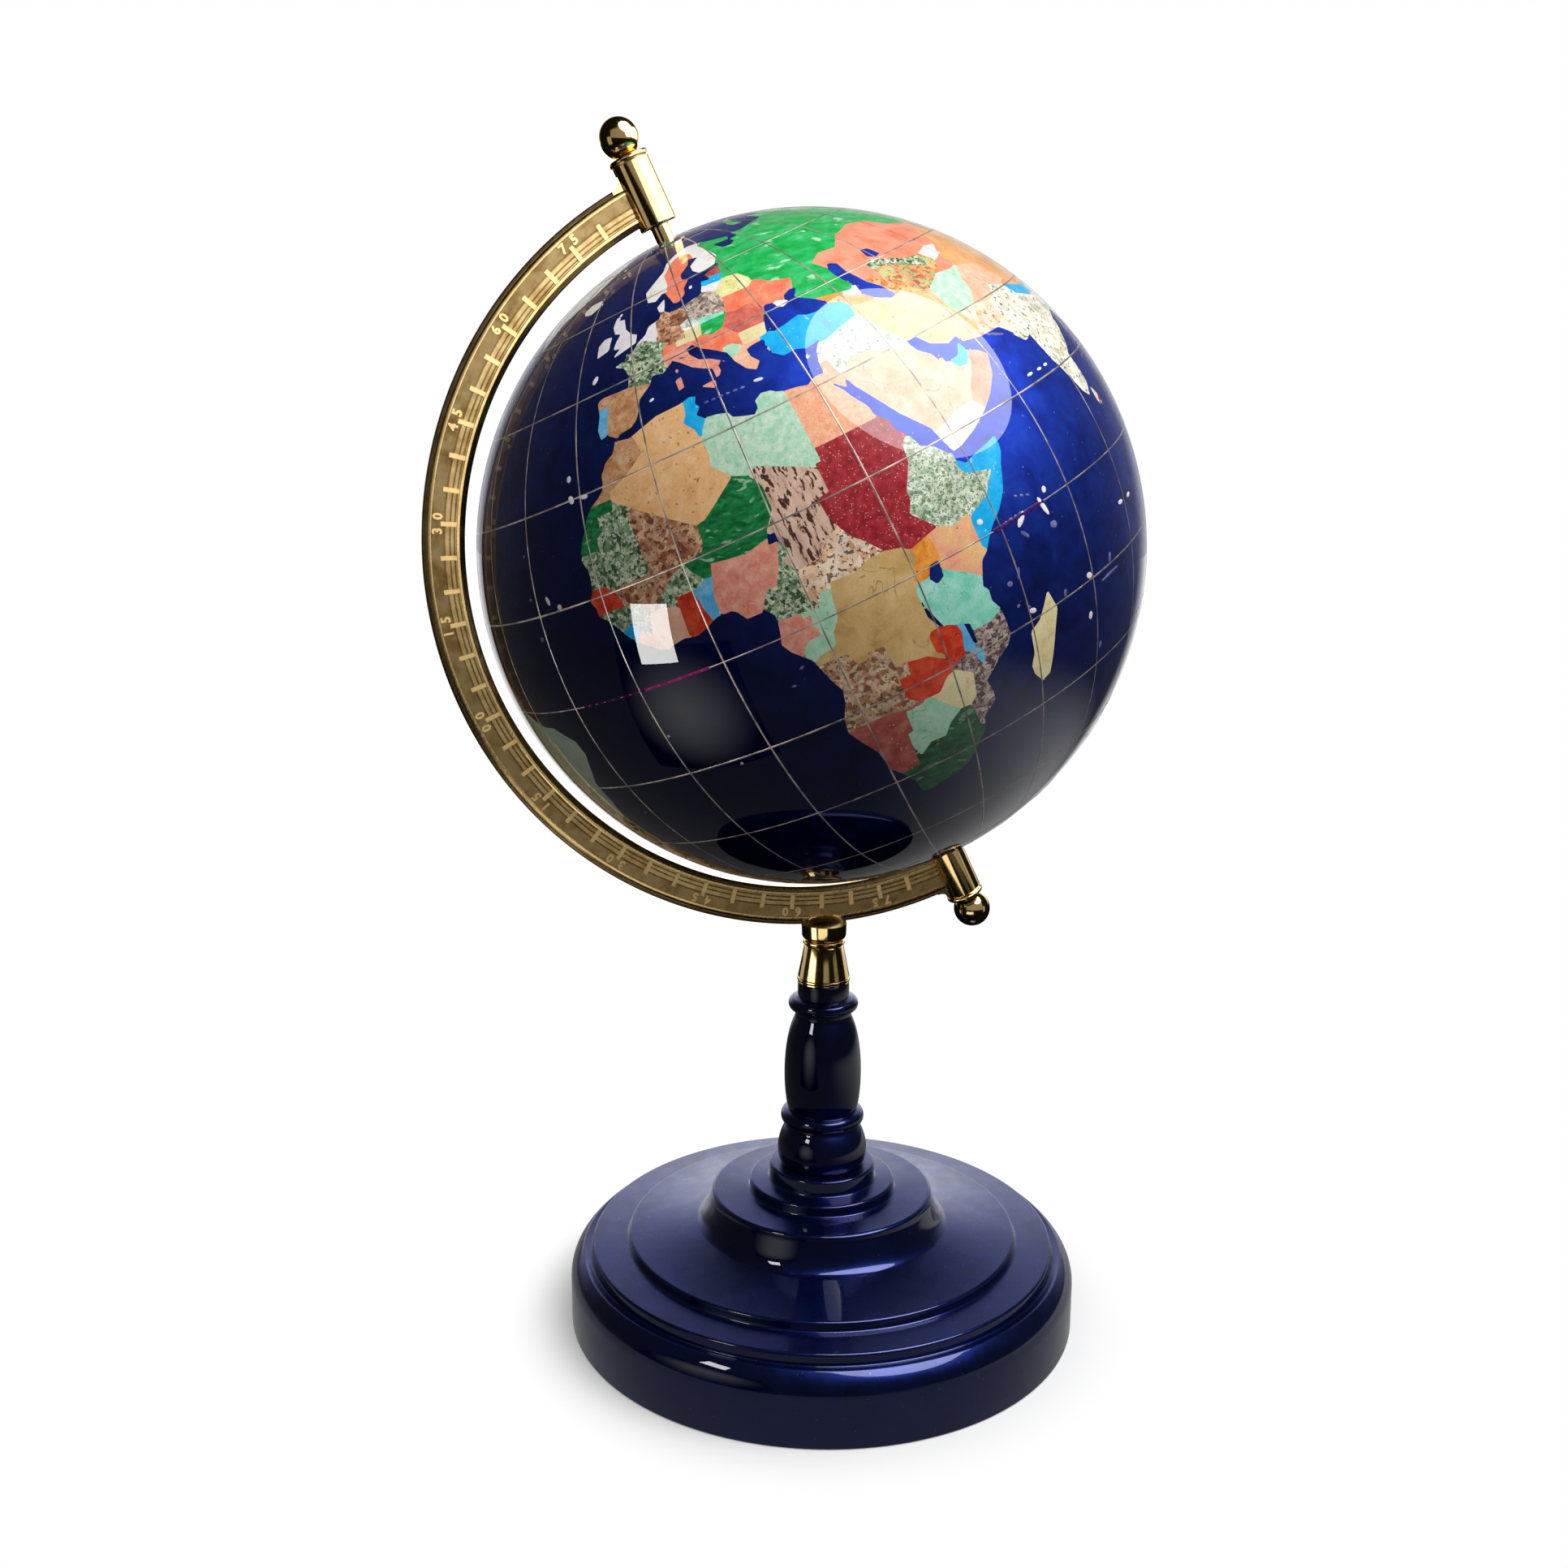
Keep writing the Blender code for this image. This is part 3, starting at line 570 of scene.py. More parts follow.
# Each coast is longitude and latitude pairs in degrees. One that passes 180 runs on past it.
COASTS = """
Africa: -5.9 35.8, -2.9 35.3, -1 35.8, 3 36.8, 7.7 36.9, 9.8 37.3, 11 37, 10.5 35.8, 11.1 35.2, 10.1 34.1,
11.2 33.2, 13.2 32.9, 15.2 32.4, 15.7 31.4, 18 30.6, 19.1 30.3, 20 31, 20.1 32.2, 21.5 32.9, 23.1 32.6,
24 32, 25.2 31.6, 27.2 31.3, 29 30.8, 30.3 31.4, 31.5 31.5, 32.6 31.2, 33 30, 32.6 29, 33.6 27.8, 34 26.6,
35.5 24, 35.6 22.5, 37 21, 37.3 19, 38.5 18, 39.4 15.6, 41.2 14.6, 42.5 13, 43.3 12.5, 43.2 11.5,
44.5 10.4, 47 11.1, 49.5 11.4, 51.2 11.9, 51.1 10.4, 50.8 9.4, 49.8 8, 48 4.5, 46 2.4, 44 1, 42.5 -.5,
41.3 -2, 40.2 -2.7, 39.6 -4.1, 38.8 -6.2, 39.5 -7, 39.4 -8.8, 40.4 -10.5, 40.6 -12.5, 40.8 -14.9,
39.8 -16.4, 37.8 -17.5, 36.2 -18.9, 34.8 -19.9, 35.4 -22, 35.5 -23.8, 34 -24.9, 32.8 -25.9, 32.9 -27,
32.2 -28.6, 31 -29.9, 29.5 -31.8, 28 -33, 25.7 -33.9, 22.5 -34.1, 20 -34.8, 18.4 -34.1, 18.2 -31.8,
16.8 -29.1, 15.2 -27, 14.5 -22.7, 12.9 -19.9, 11.8 -17.5, 12.2 -15.2, 13.5 -12.5, 13.9 -10.7, 13.1 -8.9,
12.3 -6.1, 11.8 -4.7, 9.6 -2.4, 8.8 -.9, 9.3 .5, 9.7 2.2, 9.8 3.3, 8.9 4.4, 7.1 4.4, 5.9 4.4, 5 5.8,
4.3 6.3, 2 6.3, 1.2 6, -.2 5.4, -2 4.8, -4 5.2, -5.9 4.9, -7.5 4.4, -9.3 5.5, -11.4 6.9, -13.2 8.7,
-13.7 9.6, -15 11, -16.7 12.4, -16.7 13.5, -17.5 14.7, -16.5 16, -16.1 18, -16.2 19.2, -17.1 20.9,
-16.9 21.8, -15.9 23.8, -14.9 25, -14.4 26.3, -13 27.7, -11.3 28.5, -10.1 29.4, -9.7 30.6, -9.8 31.5,
-8.5 33.3, -6.8 34.1;
Europe and Asia: -5.4 36.1, -6.3 36.7, -7.4 37.2, -8.9 37, -9.4 38.7, -8.8 41, -9.2 43.2, -7.9 43.7,
-3.8 43.5, -1.6 43.4, -1.2 45.5, -2.2 47.2, -4.6 48.2, -1.6 48.7, -1.5 49.7, .2 49.5, 1.6 50.8, 4 51.8,
5 53.2, 8 53.6, 8.7 54.3, 8.1 56.5, 10.6 57.7, 10.3 56.2, 9.8 54.8, 11 54, 14.2 53.9, 18.6 54.6,
19.8 54.5, 21 56, 21.7 57.6, 24.2 57.1, 23.6 59.2, 28 59.6, 30.2 60, 28 60.5, 22.9 59.9, 21.3 61.5,
21.5 63.2, 25.3 65, 22.2 65.8, 21 64, 17.3 62, 17.2 60.6, 18.9 59.8, 16.7 58, 16.4 56.6, 14.2 55.4,
12.8 55.5, 11.3 58.9, 10.6 59.5, 8 58.1, 5.5 58.7, 5 61.5, 8.5 63.6, 12 65.5, 14 68, 18.5 69.8, 25.5 71,
31 70.4, 33.5 69.3, 41 67.5, 40 66.3, 33.5 66.7, 35 64.4, 37.5 64, 40.3 64.8, 40 66, 43.9 66.2, 44 68.4,
48.5 67.7, 54 68.4, 60 69, 65 69.3, 67 71, 69 72.9, 72.8 72, 73 69, 75 72.5, 80.5 72.8, 87 75, 104 77.7,
113 74, 127 73, 140 72.5, 160 69.8, 170 69.5, 180 68.8, 190 66, 180 64.5, 177.5 62.5, 170 60, 163.5 59.5,
162.5 56.5, 156.7 51, 155.8 56.8, 163.5 62, 155 59.5, 143 59.3, 135.5 54.7, 141 53, 140 48, 135 44,
131.5 43, 129.5 41, 127.5 39.5, 129.4 37, 129 35.2, 126.5 34.5, 126.5 37.5, 125 38.5, 124.3 40, 121.3 39,
121 40.8, 118 39, 119 37.3, 122.5 37.2, 119.3 35, 121.8 32, 121.9 29.8, 119.5 25.7, 116.5 23, 113.5 22.2,
110.3 21.2, 108 21.5, 105.8 19, 108.8 15.5, 109.2 12, 106.7 10, 104.8 8.7, 103 11, 100.5 13.4, 99.5 11.5,
100.3 8.5, 103.4 4.5, 104.2 1.4, 101.3 2.8, 100.3 6, 98.3 8.5, 98.6 12.5, 97.5 16.5, 94.3 16, 94.2 18.5,
91.8 22.5, 89 21.8, 86.9 21, 86.5 20, 82.3 16.7, 80.2 15.5, 80.2 12.5, 79.8 10.3, 78 8.4, 76.3 9.8,
74.8 13, 73.3 16.5, 72.8 19.5, 72.7 21.5, 70.5 20.9, 69 22.3, 68.3 23.7, 66.7 25, 61.6 25.1, 57.3 25.8,
56.8 27.1, 54.5 26.6, 51.5 27.9, 50 30.1, 48 30, 48.5 28, 50.2 26.5, 50.8 24.8, 51.3 26.1, 51.6 24.2,
54.4 24.4, 56.3 26.2, 56.6 24.4, 58.6 23.6, 59.8 22.4, 57.8 19.5, 55.2 17.4, 52.2 15.6, 48.7 14, 45 12.8,
43.5 12.7, 42.8 15, 42.3 17, 39.2 21, 37.2 24.5, 35.2 28, 34.9 29.5, 34.3 27.8, 33.2 28.8, 32.5 29.9,
32.2 31.2, 32.5 32, 32.7 33.4, 33.4 34.9, 34.4 35.9, 35.4 36.6, 34 36.3, 32.4 36.1, 30.6 36.8, 28.2 36.7,
26.4 38.2, 26.2 39.5, 26.7 40.4, 26 40.8, 24 40.7, 22.9 40.4, 23 39, 24 37.7, 22.8 36.6, 21.3 37.5,
20 39.5, 19.4 41.5, 17.5 42.8, 15.2 44.2, 13.7 45.6, 12.3 45.3, 12.6 44, 14 42.5, 16 41.8, 18.5 40.2,
16.9 40.4, 17 39, 15.8 37.9, 15.7 40, 14 40.8, 12.2 41.8, 10.3 43.5, 8.8 44.4, 6.5 43.1, 4 43.5, 3.2 42.2,
.5 40.6, -.2 38.8, -.8 37.7, -2.2 36.8, -4.5 36.6;
North America: -168 65.7, -162 60, -158 58.5, -152 59.5, -145 60.3, -135 58, -124.5 48.4, -124.2 40.5,
-120.6 34.5, -117.2 32.6, -112.5 27, -109.5 23, -113.5 31, -106 22.5, -105.5 20, -97 15.8, -92 14.5,
-87.5 12.8, -83 8.4, -80 7.3, -77.5 8.5, -82 9.3, -83.5 12, -83.2 15, -88.3 15.8, -87.5 18, -87 21.5,
-90.3 21, -94.5 18.2, -97.5 22, -97.3 27, -94 29.5, -89.5 29.2, -84 30, -82.7 27.8, -81 25.2, -80.2 27,
-81.3 31, -76 35, -74 40.5, -70 42, -67 44.6, -61 45.8, -64.5 48, -66.5 50.2, -59 51, -55.7 53, -61.5 57,
-65 60, -70 61, -77.5 62.3, -78.5 58.8, -76.5 56.5, -79.5 54.5, -79.8 51.5, -82.3 53, -82.3 55.2,
-88 56.5, -94.5 58.8, -94 61, -88 64, -82 68, -85 69.5, -95 69, -97 68, -108 68, -115 68.2, -128 70,
-141 69.7, -156.5 71.3, -166 68.4, -162 66.5;
South America: -77.5 8.5, -75 11, -72 12, -71.5 10.8, -68 11.5, -62 10.7, -57 6, -51.5 4.5, -50 0,
-44 -2.5, -40 -2.8, -35.2 -5.5, -34.8 -8, -37 -11.5, -39 -14, -39.2 -18, -41 -22, -46 -24, -48.6 -27,
-52 -33, -54 -34.8, -57.5 -34.5, -56.8 -36.5, -62 -39, -65 -41, -63.8 -42.5, -67.5 -46, -66 -48, -69 -51,
-68.5 -52.4, -65.2 -54.7, -69 -55.3, -75 -51, -75.5 -47, -73 -42, -73.5 -37, -71.5 -30, -70.3 -20,
-71.5 -17.5, -76 -14, -81 -6, -80 -3, -81 -1, -80 1, -77.5 3, -77.5 7;
Australia: 113.7 -22.5, 114 -26.5, 115.7 -32, 115.1 -34.3, 118 -35, 124 -33, 129 -31.7, 131.5 -31.5,
135.5 -34.8, 138 -33, 138.5 -35.5, 140.5 -38, 146.5 -39, 150 -37.5, 153 -31, 153.2 -26, 150.8 -23,
146.5 -19, 145.3 -15, 142.5 -10.8, 141.5 -14, 140.5 -17.5, 136 -15.5, 136.8 -12.2, 131 -12, 129.5 -15,
126.5 -14, 122.2 -18, 119 -20;
Antarctica: -180 -78, -150 -77, -130 -74, -100 -73, -75 -72, -60 -64, -60 -72, -60 -77, -35 -78, -15 -72,
0 -70, 30 -69, 50 -67, 75 -69, 90 -66.5, 110 -66, 135 -66, 160 -70, 170 -77, 180 -78, 180 -91, -180 -91;
Madagascar: 49.3 -12, 50.5 -15.5, 49.5 -18, 48 -22.5, 47 -25, 45.2 -25.6, 43.7 -23.5, 43.4 -22, 44.3 -20,
44.4 -16.5, 46.5 -15.6, 48 -13.8;
Great Britain: -5.5 50.1, -3.5 50.3, 1.3 51.1, 1.7 52.7, .2 53.3, -1.5 55, -2.1 57.5, -4 57.7, -3.3 58.6,
-5 58.6, -5.8 56.8, -4.9 55, -3.1 54.5, -4.4 53.2, -5.1 51.8, -3.2 51.4;
Ireland: -6.2 53.5, -6.4 52.2, -10 51.6, -10 54, -8.3 55, -5.8 54.8;
Iceland: -22.5 64, -18.7 63.4, -14 64.8, -16 66.4, -22 66.3, -24 65.3;
Sicily: 12.6 38, 15.5 38.2, 15.1 36.7;
Sardinia: 8.3 40.9, 9.6 41.1, 9.6 39.2, 8.5 39;
Corsica: 8.7 42.5, 9.5 42.8, 9.4 41.5;
Crete: 23.6 35.5, 26.2 35.2, 24.8 34.9;
Cyprus: 30.9 34.5, 31.9 35.4, 32.7 35.6, 32 34.6;
Sri Lanka: 80 9.7, 81.8 7.5, 80.6 6, 79.9 7;
Svalbard: 11 79, 20 80.2, 22 78.5, 16 76.8;
Novaya Zemlya: 52 71, 57 70.7, 58 73.5, 68 76.8, 60 76, 53 73;
Greenland: -73 78.3, -60 76, -54 70, -52 65, -44 60, -40 65, -25 70, -18 77, -20 81.5, -35 83.5, -60 82;
Baffin Island: -62 66, -70 62.5, -78 64.5, -73 68, -85 72.5, -78 73, -66 69;
Ellesmere Island: -90 76, -62 82.5, -80 83, -95 81;
Victoria Island: -105 69, -117 70, -115 73, -103 72;
Cuba: -84.9 21.9, -82 23.2, -76 21, -74.2 20.2, -77.5 19.9;
Hispaniola: -74.4 18.4, -73 19.9, -68.4 18.6, -71 18;
Newfoundland: -59 47.8, -55.5 51.5, -53 47;
Tasmania: 144.7 -40.8, 148.3 -41, 147 -43.5, 145.5 -42.5;
New Guinea: 131 -1, 134.5 -3, 138 -1.7, 144.5 -4, 147.5 -6.5, 150.7 -10.3, 146 -8.7, 143 -9, 138.5 -8,
133 -4;
Borneo: 109 1.5, 111.5 2.8, 116.8 7, 119 5, 117.5 .8, 116 -4, 110.2 -2.8;
Sumatra: 95.3 5.6, 98.7 3.8, 104 -1.2, 106 -5.8, 102.3 -4, 98.5 1.5;
Java: 105.2 -6.8, 108.5 -6.7, 114.5 -8, 108 -7.8;
Sulawesi: 119.5 -5, 119.8 0, 125 1.5, 121 .3, 121.5 -2, 122.5 -5, 120.5 -3;
Luzon: 120.5 18, 122.2 18.3, 124 13, 120.6 14;
Mindanao: 122 10, 125.8 9.5, 125.5 6, 122 7.5;
Kyushu and Honshu: 130 33, 131 31.2, 135.5 33.5, 139.8 35, 141 38, 141.5 41.3, 140 40, 137 37, 133 35.5;
Hokkaido: 140.2 42, 141.5 45.3, 145.3 43.5, 143 42;
Sakhalin: 142 46, 143.5 49.5, 142.5 54, 141.9 49;
North Island: 172.7 -34.5, 175.5 -37, 178.3 -38, 175.2 -41.5, 174 -39, 174.5 -37;
South Island: 172.7 -40.6, 174.2 -41.7, 170.7 -45.8, 168.5 -46.5, 166.6 -45.8, 171 -42.5
"""
SEAS = """
Black Sea: 28 42, 28.8 43.8, 30.8 46.5, 33 46, 32.6 45.4, 33.7 44.5, 35.4 45, 35.3 46.4, 37.5 47.1,
39.2 47.1, 38 46, 37 45.3, 39.7 43.5, 41.5 42, 41.4 41.4, 38.5 41, 36.3 41.3, 35 42, 32 41.5, 29.2 41.2;
Caspian Sea: 48.2 47.4, 49.6 48.6, 51.2 47.6, 50.8 45.4, 51.4 43.4, 51.8 41.9, 53.4 39.9, 54.2 37.6,
52.8 37.3, 50.3 38.4, 48.6 40.2, 49.3 42.2, 48.3 44, 48 46;
Aral Sea: 58.6 46.2, 59.6 48.1, 61.6 47.6, 62 45.6, 60 45.3;
Lake Victoria: 31.7 -1.5, 32.5 .3, 33.9 .3, 33.8 -2, 32.5 -2.7;
Great Lakes: -92 46.8, -88 48.6, -84.5 46.5, -80 45.5, -82.5 43.3, -84.5 45.8, -87 42, -88 44.5;
Lake Tanganyika: 29.2 -3.6, 29.8 -5.5, 31 -8.6, 30.2 -8, 29.3 -6.3;
Lake Chad: 13 12.6, 13.2 13.8, 14.5 13.9, 14.5 12.6;
Lake Malawi: 34 -9.8, 34.9 -10.2, 35.2 -14, 34.5 -13.2
"""
